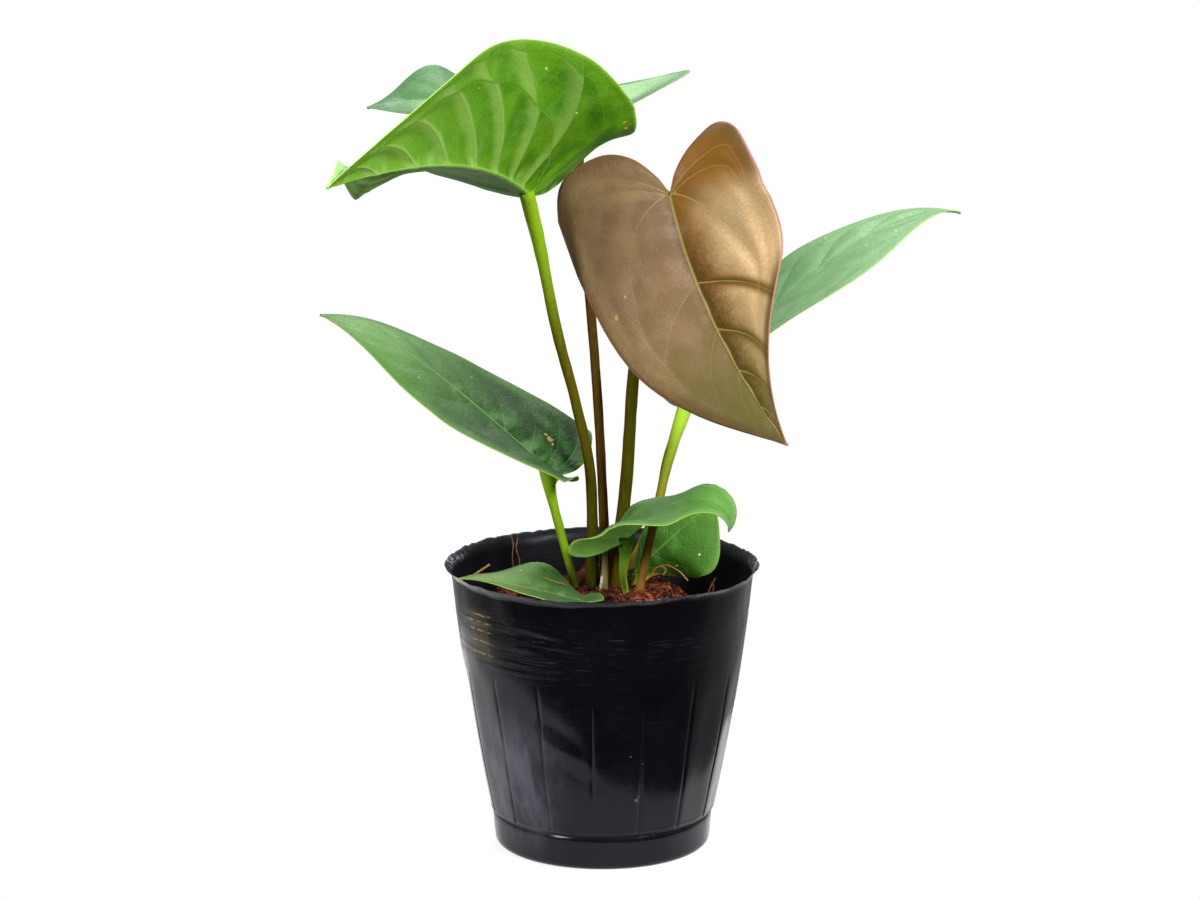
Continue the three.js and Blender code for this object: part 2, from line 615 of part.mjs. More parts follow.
const shoot = toSolid(stalkBody(SHOOT.path, SHOOT.radii, STALK_SIDES, 8)).subtract(stemBaseBody(GAP));
addPiece('new_shoot', fromSolid(largest(shoot)), SHOOT.colour, 0.5);
coir = coir.subtract(toSolid(stalkBody(SHOOT.path, swollen(SHOOT.radii), STALK_SIDES, 8)));
addPiece('coir', fromSolid(largest(coir)), 0x6e3a20, 0.95);

export default group;
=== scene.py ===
import math
import bpy
import numpy as np
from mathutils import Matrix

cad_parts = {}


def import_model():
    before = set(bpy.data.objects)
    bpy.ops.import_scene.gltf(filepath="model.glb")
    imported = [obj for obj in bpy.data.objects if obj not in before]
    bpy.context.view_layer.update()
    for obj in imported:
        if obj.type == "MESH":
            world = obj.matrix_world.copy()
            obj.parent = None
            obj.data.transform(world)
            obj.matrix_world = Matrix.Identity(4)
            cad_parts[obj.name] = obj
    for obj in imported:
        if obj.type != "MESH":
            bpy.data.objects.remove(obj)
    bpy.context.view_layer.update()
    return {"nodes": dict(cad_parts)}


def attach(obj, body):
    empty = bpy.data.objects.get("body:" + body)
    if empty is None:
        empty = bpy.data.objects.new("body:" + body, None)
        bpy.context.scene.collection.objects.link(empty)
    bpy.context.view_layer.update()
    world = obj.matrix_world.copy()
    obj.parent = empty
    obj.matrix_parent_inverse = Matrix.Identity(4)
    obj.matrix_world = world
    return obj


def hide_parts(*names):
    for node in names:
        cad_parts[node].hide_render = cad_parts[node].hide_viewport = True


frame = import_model()

# A young anthurium hybrid with heart-shaped leaves, in coir in a scuffed black film pot.
# Sizes are in millimetres until a mesh is made. +Z is up, and -Y is the plant's front.
MM = 0.001
TINY = 1e-6
BODY = "root"
CURVE_STEPS = 24

# Driving dimensions of the pot, the coir and the crown
POT_HEIGHT = 115
RIM_RADIUS = 62.5
FILM = 0.5
FOOT_RADIUS = 41
SKIRT_RADIUS = 44
SKIRT_HEIGHT = 12.5
WALL_FOOT_RADIUS = 44.6
WALL_TOP_RADIUS = 60
WALL_TOP = 111
RIB_COUNT = 16
RIB_TOP = 80
RIB_DEPTH = 0.6
RIB_HALF_WIDTH = 0.55
FRONT_RIB_ANGLE = math.radians(-94.6)
DRAIN_HOLES = 6
COIR_TOP = 103.5
COIR_FALL = 13
COIR_DIP = 7

# Driving dimensions of the leaves
BLADE = 0.5
BLADE_EDGE = 0.26
JOINT_SHARE = 0.42
VEIN_LEAN = 1.6
MIDDLE_STATION = 0.45
LATE_STATION = 0.75
STALK_SEAT = 3

# Half of a flat blade's edge, from the junction round the lobe to the tip. The first number is a share of
# the lobe's length behind the junction or of the blade's length ahead of it, and the second a share of half
# the width.
HEART = [
    (0, 0), (-0.42, 0.1), (-0.86, 0.3), (-1, 0.55), (-0.66, 0.86), (0.02, 0.995),
    (0.2, 0.99), (0.42, 0.86), (0.62, 0.63), (0.8, 0.36), (0.92, 0.15), (1, 0),
]
YOUNG = [
    (0, 0), (-0.5, 0.12), (-0.95, 0.32), (-0.75, 0.62), (0.06, 0.9),
    (0.3, 1), (0.52, 0.97), (0.72, 0.8), (0.88, 0.47), (1, 0),
]
SPOON = [
    (0, 0), (-0.35, 0.1), (-0.6, 0.25), (0, 0.46), (0.22, 0.7), (0.42, 0.97),
    (0.55, 1), (0.68, 0.86), (0.8, 0.6), (0.9, 0.34), (1, 0),
]

# Every leaf as in the model. at is the junction with the stalk, left and right are the widths of the halves,
# and lobe_lift is how far the lobes bend up, in degrees. heading, climb and bank are degrees at the junction
# and their change to the tip. A fold or curl is given at the lobe's end, the junction, the middle and the
# tip, and where there are five values also at LATE_STATION. A wave is its height, count and phase. laterals
# are the edge shares that the side veins run to, and puff is the height that the blade swells between its
# veins. small_puff lowers it again midway between two side veins, and calm_right is the share of all this
# that the right half keeps.
LEAVES = {
    "leaf_top": dict(
        at=(-28.7, -6, 263.7), length=131, left=55, right=55, lobe=34, lobe_lift=35,
        heading=(-111, -27), climb=(28, -42, 5), bank=(0, 12),
        fold_left=(69, 60, 74, 46), fold_right=(2, 11, 0, -22, 90),
        curl_left=(-57, -21, -1, 0), curl_right=(23, -2, -20, -2, 0),
        wave_left=(6.6, 1.6, -0.4), wave_right=(-1.5, 1.8, -0.3),
        laterals=(0.53, 0.6, 0.665, 0.73, 0.8, 0.865, 0.93), puff=1.2,
    ),
    "leaf_rear": dict(
        at=(-7.6, 40.5, 298.6), length=87, left=41, right=53, lobe=40, lobe_lift=16,
        heading=(186, -10), climb=(-7, 16, -21), bank=(13, -13),
        fold_left=(-16, -19, -8, -16), fold_right=(-4, 4, 3, 31, 8),
        curl_left=(2, 1, 0, 0), curl_right=(0, 0, 0, 0),
        wave_left=(1.6, 2, 0.1), wave_right=(-3.5, 3.3, -0.2),
        laterals=(0.49, 0.58, 0.67, 0.76, 0.85, 0.93), puff=0.4,
    ),
    "leaf_bronze": dict(
        at=(26.5, -14, 265), length=116, left=51, right=53, lobe=21, lobe_lift=-22,
        heading=(-45, -14), climb=(-73, 50, -9), bank=(75, 23),
        fold_left=(1, 19, 1, 14), fold_right=(0, 4, 7, -18),
        curl_left=(40, 0, -14, -14), curl_right=(13, -7, 2, 2),
        wave_left=(2.3, 1.4, -0.6), wave_right=(-2.8, 1.4, -0.2),
        laterals=(0.7, 0.79, 0.865, 0.93), puff=1.5, small_puff=0.7, calm_right=0.35,
    ),
    "leaf_right": dict(
        at=(32.6, 34, 172.3), length=151, left=44, right=46, lobe=9, lobe_lift=30,
        heading=(10, 24), climb=(47, -12, -48), bank=(-14, 12),
        fold_left=(70, 10, 2, 10), fold_right=(85, 12, -8, 7),
        curl_left=(8, 0, 6, -18), curl_right=(11, -2, 6, -14),
        wave_left=(2.9, 2, 0.1), wave_right=(3.5, 1.8, 0.5),
        laterals=(0.48, 0.56, 0.64, 0.72, 0.8, 0.88, 0.95), puff=0.5,
    ),
    "leaf_left": dict(
        at=(-20, 0, 151.2), length=113, left=37, right=37, lobe=11, lobe_lift=21,
        heading=(-179, -7), climb=(42, 2, -34), bank=(-16, 2),
        fold_left=(39, 33, -2, 0), fold_right=(23, 17, -5, 1),
        curl_left=(-6, -7, 2, -11), curl_right=(-4, -4, -2, -15),
        wave_left=(-3.1, 1.7, 0), wave_right=(-2.4, 1.6, 0),
        laterals=(0.49, 0.57, 0.65, 0.73, 0.81, 0.88, 0.94), puff=0.55,
    ),
    "leaf_small_front": dict(
        at=(7.3, -22, 128.5), length=57, left=23, right=20, lobe=20, lobe_lift=15, small=True,
        heading=(1, -10), climb=(42, -8, -148), bank=(4, 9),
        fold_left=(20, 4, -4, 28), fold_right=(67, 77, -7, -8),
        curl_left=(4, -9, -5, 4), curl_right=(-5, -62, -13, 4),
        wave_left=(-3, 1.9, 0), wave_right=(-3.5, 1.2, 0),
        laterals=(0.5, 0.62, 0.74, 0.86), puff=0.25,
    ),
    "leaf_old_low": dict(
        at=(15.1, 12.8, 109.9), length=40, left=13, right=21, lobe=8, lobe_lift=0, small=True, edge=SPOON,
        heading=(12, -2), climb=(42, -5, 5), bank=(73, -4),
        fold_left=(0, 0, 0, 0), fold_right=(8, -45, 6, 0),
        curl_left=(0, 0, 0, 0), curl_right=(2, -9, 4, 0),
        wave_left=(0, 1, 0), wave_right=(0, 1, 0),
        laterals=(0.5, 0.62, 0.74, 0.86), puff=0.2,
    ),
    "leaf_rim": dict(
        at=(-8.9, -24, 104.9), length=49, left=19, right=18, lobe=10, lobe_lift=0, small=True, edge=YOUNG,
        heading=(-176, 4), climb=(17, -7, -4), bank=(4, 2),
        fold_left=(0, -3, 0, 8), fold_right=(28, 4, 29, 0),
        curl_left=(0, 0, 0, 0), curl_right=(-1, -9, -1, -11),
        wave_left=(0, 1, 0), wave_right=(-4, 1.4, -0.7),
        laterals=(0.5, 0.62, 0.74, 0.86), puff=0.2,
    ),
}

# Every stalk as in the model: its leaf, radii from foot to top, and points up its middle
STALKS = {
    "petiole_top": dict(
        leaf="leaf_top", radii=(2.9, 2.2, 2.0, 2.2, 3.0),
        path=(
            (-4.4, 3, 92), (-4.2, 3, 106), (-5, 1.6, 152),
            (-10.9, 0, 181), (-18, -2, 209), (-25, -4.6, 245),
        ),
    ),
    "petiole_rear": dict(
        leaf="leaf_rear", radii=(2.6, 1.9, 1.9, 1.9, 2.4),
        path=(
            (1.6, 9.4, 92), (1.4, 9.6, 106), (-0.2, 13, 146),
            (-2, 19, 178), (-4.6, 27, 211), (-8.4, 34.5, 250),
        ),
    ),
    "petiole_bronze": dict(
        leaf="leaf_bronze", radii=(3.0, 2.6, 2.4, 2.2, 2.6),
        path=(
            (3.8, 3.8, 92), (4.6, 4, 104), (7.8, 4.6, 131),
            (9.8, 2.6, 151.4), (12.4, -2.6, 193), (17.7, -8, 231),
        ),
    ),
    "petiole_right": dict(
        leaf="leaf_right", radii=(2.0, 1.7, 1.8, 2.3, 3.2),
        path=((14, 0, 92), (15, 0.2, 104), (19.8, 3.5, 127), (23, 8, 140), (26.3, 16, 153)),
    ),
    "petiole_left": dict(
        leaf="leaf_left", radii=(2.0, 1.7, 1.7, 1.9, 3.2),
        path=((-10.6, 2, 92), (-11.2, 2, 104), (-17, 1.3, 128), (-20.4, 0.6, 142)),
    ),
    "petiole_small_front": dict(
        leaf="leaf_small_front", radii=(1.6, 1.3, 1.4, 2.0, 3.4),
        path=((8.6, -4.6, 92), (9.2, -6.4, 104), (8.2, -15, 114)),
    ),
    "petiole_old_low": dict(
        leaf="leaf_old_low", radii=(1.8, 1.5, 1.3, 1.2, 1.3), path=((10.6, 7, 92), (12, 8.4, 101)),
    ),
    "petiole_rim": dict(
        leaf="leaf_rim", radii=(1.8, 1.5, 1.4, 1.4, 1.6), path=((-5.6, -7.6, 92), (-6.6, -11, 99)),
    ),
}
SHOOT = dict(
    radii=(2.2, 1.7, 1.2, 0.5), path=((0.2, -2.4, 92), (0.6, -1.8, 104), (1, 0.6, 116), (1.6, 2.6, 128)),
)


def ease(share):
    t = np.clip(share, 0, 1)
    return t * t * (3 - 2 * t)


def unit(vectors):
    return vectors / np.maximum(np.linalg.norm(vectors, axis=-1, keepdims=True), 1e-12)


def smooth_noise(points, size, seed):
    """Smooth pseudo-random heights from -1 to 1 at 3-D points, with features of about the given size."""
    places = np.asarray(points, float) / size
    cell = np.floor(places).astype(np.int64)
    within = ease(places - cell)
    total = np.zeros(len(places))
    for corner in np.ndindex(2, 2, 2):
        key = (cell + np.array(corner)) * np.array([73856093, 19349663, 83492791])
        mixed = (key[:, 0] ^ key[:, 1] ^ key[:, 2] ^ (seed * 2654435761)) & 0xFFFFFFFF
        mixed = ((mixed ^ (mixed >> 15)) * 2246822519) & 0xFFFFFFFF
        mixed = ((mixed ^ (mixed >> 13)) * 3266489917) & 0xFFFFFFFF
        height = ((mixed ^ (mixed >> 16)) & 0xFFFFFF) / 0x7FFFFF - 1
        share = np.prod(np.where(np.array(corner) == 1, within, 1 - within), axis=1)
        total += height * share
    return total


def layered_noise(points, layers):
    """The sum of several noises, each given by its height, size and seed."""
    return sum(height * smooth_noise(points, size, seed) for height, size, seed in layers)


def nonzero(values):
    return np.where(np.abs(values) < TINY, TINY, values)


def turned(radius, angles, height):
    """Points round the pot's middle."""
    return np.stack(np.broadcast_arrays(radius * np.cos(angles), radius * np.sin(angles), height), -1)


def curve_points(control, count):
    """Evenly spaced points along a centripetal Catmull-Rom curve through the control points."""
    control = np.array(control, float)
    ends = np.vstack([2 * control[0] - control[1], control, 2 * control[-1] - control[-2]])
    dense = []
    for i in range(len(control) - 1):
        a, b, c, d = ends[i:i + 4]
        knots = np.cumsum([0] + [np.linalg.norm(q - p) ** 0.5 for p, q in ((a, b), (b, c), (c, d))])
        t = np.linspace(knots[1], knots[2], CURVE_STEPS, endpoint=False)[:, None]
        first = [
            (p * (hi - t) + q * (t - lo)) / (hi - lo)
            for p, q, lo, hi in zip((a, b, c), (b, c, d), knots[:3], knots[1:])
        ]
        second = [
            (p * (knots[j + 2] - t) + q * (t - knots[j])) / (knots[j + 2] - knots[j])
            for j, (p, q) in enumerate(zip(first[:2], first[1:]))
        ]
        dense.append((second[0] * (knots[2] - t) + second[1] * (t - knots[1])) / (knots[2] - knots[1]))
    dense = np.vstack(dense + [control[-1:]])
    run = np.concatenate([[0], np.cumsum(np.linalg.norm(np.diff(dense, axis=0), axis=1))])
    at = np.linspace(0, run[-1], count)
    return np.stack([np.interp(at, run, dense[:, axis]) for axis in range(3)], -1)


def ring_faces(first, second, columns):
    """Faces between two closed rows of points, facing right as the rows run round and up."""
    i = np.arange(columns)
    j = (i + 1) % columns
    return np.stack([first + i, first + j, second + j, second + i], -1).tolist()


def make_mesh(name, points, faces, attributes=None, smooth=True):
    """A mesh object from points in millimetres, with one number per point for each attribute."""
    mesh = bpy.data.meshes.new(name)
    mesh.from_pydata((np.asarray(points) * MM).tolist(), [], [list(map(int, face)) for face in faces])
    for key, values in (attributes or {}).items():
        layer = mesh.attributes.new(key, "FLOAT", "POINT")
        layer.data.foreach_set("value", np.asarray(values, np.float32))
    mesh.polygons.foreach_set("use_smooth", [smooth] * len(mesh.polygons))
    mesh.update()
    piece = bpy.data.objects.new(name, mesh)
    bpy.context.scene.collection.objects.link(piece)
    return piece


def dress(piece, materials, slot, *nodes):
    """Gives a piece its materials, fixes it to the body and hides the modelled nodes that it stands for.
    slot is not used.
    """
    for material in materials:
        piece.data.materials.append(material)
    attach(piece, BODY)
    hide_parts(*nodes)


# Node trees

class Nodes:
    """Short calls for building the nodes of a material or of the world."""

    def __init__(self, owner, end="Principled BSDF"):
        self.owner = owner
        owner.use_nodes = True
        self.tree = owner.node_tree
        self.end = self.tree.nodes[end]

    def add(self, kind, settings=None, **inputs):
        node = self.tree.nodes.new(kind)
        for key, value in (settings or {}).items():
            setattr(node, key, value)
        for key, value in inputs.items():
            self.feed(node.inputs[key.replace("_", " ")], value)
        return node

    def feed(self, socket, value):
        if isinstance(value, bpy.types.NodeSocket):
            self.tree.links.new(value, socket)
        elif isinstance(value, (tuple, list)) and len(value) == 3 and socket.type == "RGBA":
            socket.default_value = (*value, 1)
        else:
            socket.default_value = value

    def math(self, operation, *values):
        node = self.add("ShaderNodeMath", {"operation": operation})
        for socket, value in zip(node.inputs, values):
            self.feed(socket, value)
        return node.outputs[0]

    def times(self, product, *values):
        for value in values:
            product = self.math("MULTIPLY", product, value)
        return product

    def most(self, greatest, *values):
        for value in values:
            greatest = self.math("MAXIMUM", greatest, value)
        return greatest

    def absolute(self, value):
        return self.math("ABSOLUTE", value)

    def add_times(self, value, factor, rest):
        """value times factor, plus the rest."""
        return self.math("MULTIPLY_ADD", value, factor, rest)

    def distance(self, across, along):
        squares = self.times(across, across), self.times(along, along)
        return self.math("SQRT", self.math("ADD", *squares))

    def attribute(self, name):
        return self.add("ShaderNodeAttribute", {"attribute_name": name}).outputs["Fac"]

    def remap(self, value, low, high, to_low=0.0, to_high=1.0, smooth=True):
        kind = "SMOOTHSTEP" if smooth else "LINEAR"
        node = self.add("ShaderNodeMapRange", {"interpolation_type": kind, "clamp": True})
        keys = ("Value", "From Min", "From Max", "To Min", "To Max")
        for key, number in zip(keys, (value, low, high, to_low, to_high)):
            self.feed(node.inputs[key], number)
        return node.outputs["Result"]

    def fade(self, value, low, high, to=0.0):
        """1 up to low, and less from there to high."""
        return self.remap(value, low, high, 1.0, to)

    def within(self, value, low, high, soft):
        """1 between low and high, with soft ends."""
        rise = self.remap(value, low - soft, low + soft)
        return self.times(rise, self.fade(value, high - soft, high + soft))

    def mix(self, share, a, b):
        node = self.add("ShaderNodeMix", {"data_type": "RGBA"})
        self.feed(node.inputs["Factor"], share)
        self.feed(node.inputs[6], a)
        self.feed(node.inputs[7], b)
        return node.outputs[2]

    def place(self, scale=(1, 1, 1)):
        coordinates = self.add("ShaderNodeTexCoord").outputs["Object"]
        mapping = self.add("ShaderNodeMapping", Vector=coordinates)
        mapping.inputs["Scale"].default_value = scale
        return mapping.outputs[0]

    def combine(self, x, y):
        return self.add("ShaderNodeCombineXYZ", X=x, Y=y).outputs[0]

    def noise(self, vector, scale, detail=3.0, roughness=0.5):
        inputs = dict(Vector=vector, Scale=scale, Detail=detail, Roughness=roughness)
        return self.add("ShaderNodeTexNoise", **inputs).outputs[0]

    def cell_edges(self, vector, scale):
        settings = {"feature": "DISTANCE_TO_EDGE"}
        return self.add("ShaderNodeTexVoronoi", settings, Vector=vector, Scale=scale).outputs["Distance"]

    def bump(self, height, distance, strength):
        return self.add("ShaderNodeBump", Height=height, Distance=distance, Strength=strength).outputs[0]

    def finish(self, **inputs):
        for key, value in inputs.items():
            self.feed(self.end.inputs[key.replace("_", " ")], value)
        return self.owner


# Leaf shapes

FIRST_SHARE = 0.03
# How far the blade's lines bow forward, and how much its columns crowd to the midrib
BOW = 0.1
RIB_CROWDING = 1.3
WALK_STEPS = 300
# Lines in the fan round the lobe, lines from one side vein to the next, and columns from midrib to edge
SMALL_GRID = (22, 6, 18)
LARGE_GRID = (40, 9, 38)
# Distances on a blade are cut off at FAR, and the gap between side veins is kept in GAP_RANGE
FAR = 30
GAP_RANGE = (0.2, 60)
# How far across the blade each long vein lies where it meets the lines at some edge shares
LONG_VEINS = {
    "inner": ((0.43, 0), (0.47, 0.12), (0.53, 0.3), (0.6, 0.55), (0.66, 0.7), (0.76, 0.8), (1, 0.82)),
    "outer": ((0.38, 0), (0.4, 0.34), (0.42, 0.56), (0.45, 0.74), (0.5, 0.86), (0.6, 0.92), (1, 0.94)),
    "lobe_vein": ((0.26, 0), (0.3, 0.38), (0.32, 0.6), (0.35, 0.75), (0.38, 0.81), (0.45, 0.84), (1, 0.85)),
}
SCALLOP = 0.05
# How fast the side vein count and the long veins' places fall off in the lobe
LOBE_PLACE_SLOPE = 8
LOBE_WAY_SLOPE = 6
VEIN_SMOOTHING = np.linspace(-0.025, 0.025, 7)
PUFF_REACH = 3.4
# Fine unevenness of a blade: height, size and seed
CRINKLES = ((0.12, 7, 3), (0.07, 3.2, 5))
# The midrib's half width and how far it and the side veins stand out
MIDRIB_WIDTH = 1.1
MIDRIB_ABOVE = 0.2
MIDRIB_BELOW = 0.9
SIDE_VEIN_WIDTH = 0.6
LONG_VEIN_WIDTH = 0.7
SIDE_VEIN_BELOW = 0.22
# How the swelling ends at the edge, and how wide the lower place midway between two side veins is
PUFF_END_POWER = 8
SMALL_PUFF_REACH = 2.2
# How the midrib tapers to the tip and the side veins to the edge, and where the blade starts to thin
MIDRIB_TAPER = 1.3
SIDE_VEIN_TAPER = 0.8
THIN_FROM = 0.75
# Relief and pattern of a small leaf against those of a large one
SMALL_RELIEF = 0.5
SMALL_PATTERN = 0.55


def value_along(values, x, leaf):
    """A fold, curl or other value at a distance x ahead of the junction."""
    stations = [-leaf["lobe"], 0, MIDDLE_STATION * leaf["length"], leaf["length"]]
    if len(values) > len(stations):
        stations.insert(3, LATE_STATION * leaf["length"])
    value = np.full(np.shape(x), float(values[0]))
    for i in range(len(values) - 1):
        share = (x - stations[i]) / (stations[i + 1] - stations[i])
        value = value + (values[i + 1] - values[i]) * ease(share)
    return value


def midrib_axes(leaf, x):
    """Tangent, left side and upper side of the midrib at distances x ahead of the junction."""
    share = np.maximum(x, 0) / leaf["length"]
    heading = np.radians(leaf["heading"][0] + leaf["heading"][1] * share)
    climb = np.radians(leaf["climb"][0] + leaf["climb"][1] * share + leaf["climb"][2] * share ** 3)
    bank = np.radians(leaf["bank"][0] + leaf["bank"][1] * share)[:, None]
    reach = np.cos(climb)
    tangent = np.stack([reach * np.cos(heading), reach * np.sin(heading), np.sin(climb)], -1)
    level = np.stack([-np.sin(heading), np.cos(heading), np.zeros_like(heading)], -1)
    above = np.cross(tangent, level)
    side = level * np.cos(bank) + above * np.sin(bank)
    return tangent, side, above * np.cos(bank) - level * np.sin(bank)


def midrib_frame(leaf, x):
    """Place and axes at x. Behind the junction the lobes lift in an arc."""
    stations = np.linspace(0, leaf["length"], WALK_STEPS + 1)
    stride = leaf["length"] / WALK_STEPS
    walk = np.cumsum(midrib_axes(leaf, (stations[:-1] + stations[1:]) / 2)[0], axis=0) * stride
    walk = np.vstack([np.zeros(3), walk]) + np.array(leaf["at"], float)
    ahead = np.maximum(x, 0)
    behind = np.maximum(-x, 0)
    point = np.stack([np.interp(ahead, stations, walk[:, axis]) for axis in range(3)], -1)
    tangent, side, up = midrib_axes(leaf, ahead)
    turn = nonzero(np.radians(leaf["lobe_lift"]) * behind / leaf["lobe"])
    point = point - tangent * (behind * np.sin(turn) / turn)[:, None]
    point = point + up * (behind * (1 - np.cos(turn)) / turn)[:, None]
    return point, side, up * np.cos(turn)[:, None] + tangent * np.sin(turn)[:, None]


def by_hand(hand, left, right):
    return np.where(hand > 0, left, right)


def hand_values(leaf, key, x):
    return [value_along(leaf[f"{key}_{side}"], x, leaf) for side in ("left", "right")]


def blade_points(leaf, x, y, hand):
    """Points of the blade from their flat places: x ahead of the junction, y from the midrib."""
    point, side, up = midrib_frame(leaf, x)
    half = by_hand(hand, leaf["left"], leaf["right"])
    fold, curl = (np.radians(by_hand(hand, *hand_values(leaf, key, x))) for key in ("fold", "curl"))
    bend = nonzero(curl / half)
    tilt = fold + bend * y
    out = (np.sin(tilt) - np.sin(fold)) / bend
    lift = (np.cos(fold) - np.cos(tilt)) / bend
    point = point + side * (hand * out)[:, None] + up * lift[:, None]
    height, count, phase = (by_hand(hand, *pair) for pair in zip(leaf["wave_left"], leaf["wave_right"]))
    cycle = count * (x + leaf["lobe"]) / (leaf["length"] + leaf["lobe"]) + phase
    wave = height * (y / half) ** 2 * np.sin(2 * np.pi * cycle)
    return point + up * (wave * np.cos(tilt))[:, None] - side * (hand * wave * np.sin(tilt))[:, None]


def edge_points(leaf, share, hand):
    """The flat edge of half a blade at shares of the way from the junction round to the tip."""
    points = np.array(leaf.get("edge", HEART), float)
    ends = np.vstack([2 * points[0] - points[1], points, 2 * points[-1] - points[-2]])
    place = share * (len(points) - 1)
    first = np.minimum(place.astype(int), len(points) - 2)
    t = (place - first)[:, None]
    a, b, c, d = (ends[first + step] for step in range(4))
    square, cube = 2 * a - 5 * b + 4 * c - d, 3 * b - a - 3 * c + d
    at = 0.5 * (2 * b + (c - a) * t + square * t ** 2 + cube * t ** 3)
    x = np.where(at[:, 0] < 0, at[:, 0] * leaf["lobe"], at[:, 0] * leaf["length"])
    return x, np.maximum(at[:, 1], 0) * by_hand(hand, leaf["left"], leaf["right"])


def grid_counts(leaf):
    return SMALL_GRID if leaf.get("small") else LARGE_GRID


def line_shares(leaf):
    """Edge shares of the blade's lines, which gather at each side vein."""
    fan_lines, between, _ = grid_counts(leaf)
    stops = [*leaf["laterals"], 1.0]
    shares = [np.linspace(FIRST_SHARE, stops[0], fan_lines, endpoint=False)]
    for low, high in zip(stops[:-1], stops[1:]):
        gather = 0.5 - 0.5 * np.cos(np.pi * np.arange(between) / between)
        shares.append(low + (high - low) * gather)
    return np.append(np.concatenate(shares), 1.0)


def flat_grid(leaf, hand):
    """Flat places, edge shares and ways across for one half. Its lines bow forward like veins."""
    shares = line_shares(leaf)
    columns = grid_counts(leaf)[2]
    across = (np.arange(columns + 1) / columns) ** RIB_CROWDING
    edge_x, edge_y = edge_points(leaf, shares, hand)
    start = leaf["length"] * (np.maximum(shares - JOINT_SHARE, 0) / (1 - JOINT_SHARE)) ** VEIN_LEAN
    run_x = (edge_x - start)[:, None]
    run_y = edge_y[:, None]
    bow = (BOW * ease((shares - 0.3) / 0.2))[:, None] * np.sin(np.pi * across)[None]
    x = start[:, None] + run_x * across - bow * run_y
    y = run_y * across + bow * np.maximum(run_x, 0)
    return x, y, np.broadcast_to(shares[:, None], x.shape), np.broadcast_to(across, x.shape)


def lateral_place(leaf, shares):
    """Counts up by one from each side vein to the next."""
    stops = leaf["laterals"]
    low = stops[0] - (stops[1] - stops[0])
    place = np.interp(shares, (low, *stops, 1.0), np.arange(len(stops) + 2))
    return place - np.maximum(low - shares, 0) * LOBE_PLACE_SLOPE


def steepness(field, points):
    """How much a grid's field changes for each millimetre over the blade."""
    along = np.gradient(points, axis=0)
    over = np.gradient(points, axis=1)
    slope_along, slope_over = np.gradient(field)
    aa = (along * along).sum(-1)
    bb = (over * over).sum(-1)
    ab = (along * over).sum(-1)
    square = aa * slope_over ** 2 - 2 * ab * slope_along * slope_over + bb * slope_along ** 2
    return np.sqrt(np.maximum(square, 1e-12) / np.maximum(aa * bb - ab ** 2, 1e-6))


def vein_distance(field, points):
    """How far in millimetres each grid point is from where the field is nought, with the field's sign."""
    return np.clip(field / np.maximum(steepness(field, points), 1e-4), -FAR, FAR)


def half_fields(leaf, hand):
    """The half blade's points, flat places and vein fields, each a grid."""
    x, y, shares, across = flat_grid(leaf, hand)
    points = blade_points(leaf, x.ravel(), y.ravel(), np.full(x.size, hand)).reshape(*x.shape, 3)
    lateral = lateral_place(leaf, shares)
    fields = {"flat_x": x, "flat_y": y * hand, "across": across, "lateral": lateral}
    fields["gap"] = np.clip(1 / np.maximum(steepness(lateral, points), 1e-3), *GAP_RANGE)
    scallop = SCALLOP * (0.5 - 0.5 * np.cos(2 * np.pi * lateral)) * ease(lateral)
    for name, stops in LONG_VEINS.items():
        stop_shares, ways = np.array(stops).T
        way = np.mean([np.interp(shares + shift, stop_shares, ways) for shift in VEIN_SMOOTHING], axis=0)
        way = way + (scallop if name != "lobe_vein" else 0)
        way = way - LOBE_WAY_SLOPE * np.maximum(stop_shares[0] - shares, 0)
        fields[name] = vein_distance(across - way, points)
    reach = np.linalg.norm(points[:, -1:] - points, axis=-1)
    fields["margin"] = np.minimum(reach, FAR)
    return points, fields


def leaf_sheet(leaf):
    """The blade's grid joined at the midrib: points, faces with their upper side out, and fields."""
    halves = {hand: half_fields(leaf, hand) for hand in (1, -1)}
    points, fields = halves[1]
    lines, columns = points.shape[:2]
    fan = int((line_shares(leaf) <= JOINT_SHARE).sum())
    rib = np.concatenate([np.zeros(fan, int), np.arange(1, lines - fan + 1)])
    numbers = {}
    count = rib[-1] + 1
    for hand in (1, -1):
        grid = np.zeros((lines, columns), int)
        grid[:, 0] = rib
        grid[-1, :] = rib[-1]
        fresh = np.arange((lines - 1) * (columns - 1)).reshape(lines - 1, columns - 1) + count
        grid[:-1, 1:] = fresh
        count += fresh.size
        numbers[hand] = grid
    places = np.zeros((count, 3))
    joined = {key: np.zeros(count) for key in fields}
    for hand in (-1, 1):
        places[numbers[hand]] = halves[hand][0]
        for key, values in halves[hand][1].items():
            joined[key][numbers[hand]] = values
    faces = []
    for hand in (1, -1):
        grid = numbers[hand]
        quads = np.stack([grid[:-1, :-1], grid[1:, :-1], grid[1:, 1:], grid[:-1, 1:]], -1).reshape(-1, 4)
        for quad in quads if hand > 0 else quads[:, ::-1]:
            corners = list(dict.fromkeys(quad.tolist()))
            if len(corners) > 2:
                faces.append(corners)
    return places, faces, joined


def sheet_normals(points, faces):
    normals = np.zeros_like(points)
    for size in (3, 4):
        picked = np.array([face for face in faces if len(face) == size])
        sides = (points[picked[:, size - 2 + i]] - points[picked[:, (size - 3) * i]] for i in (0, 1))
        cross = np.cross(*sides)
        for corner in range(size):
            np.add.at(normals, picked[:, corner], cross)
    return unit(normals)


def rim_faces(faces, count):
    """Faces that join the open edge of the upper sheet to that of the lower."""
    directed = {(face[i - 1], face[i]) for face in faces for i in range(len(face))}
    return [[b, a, a + count, b + count] for a, b in directed if (b, a) not in directed]


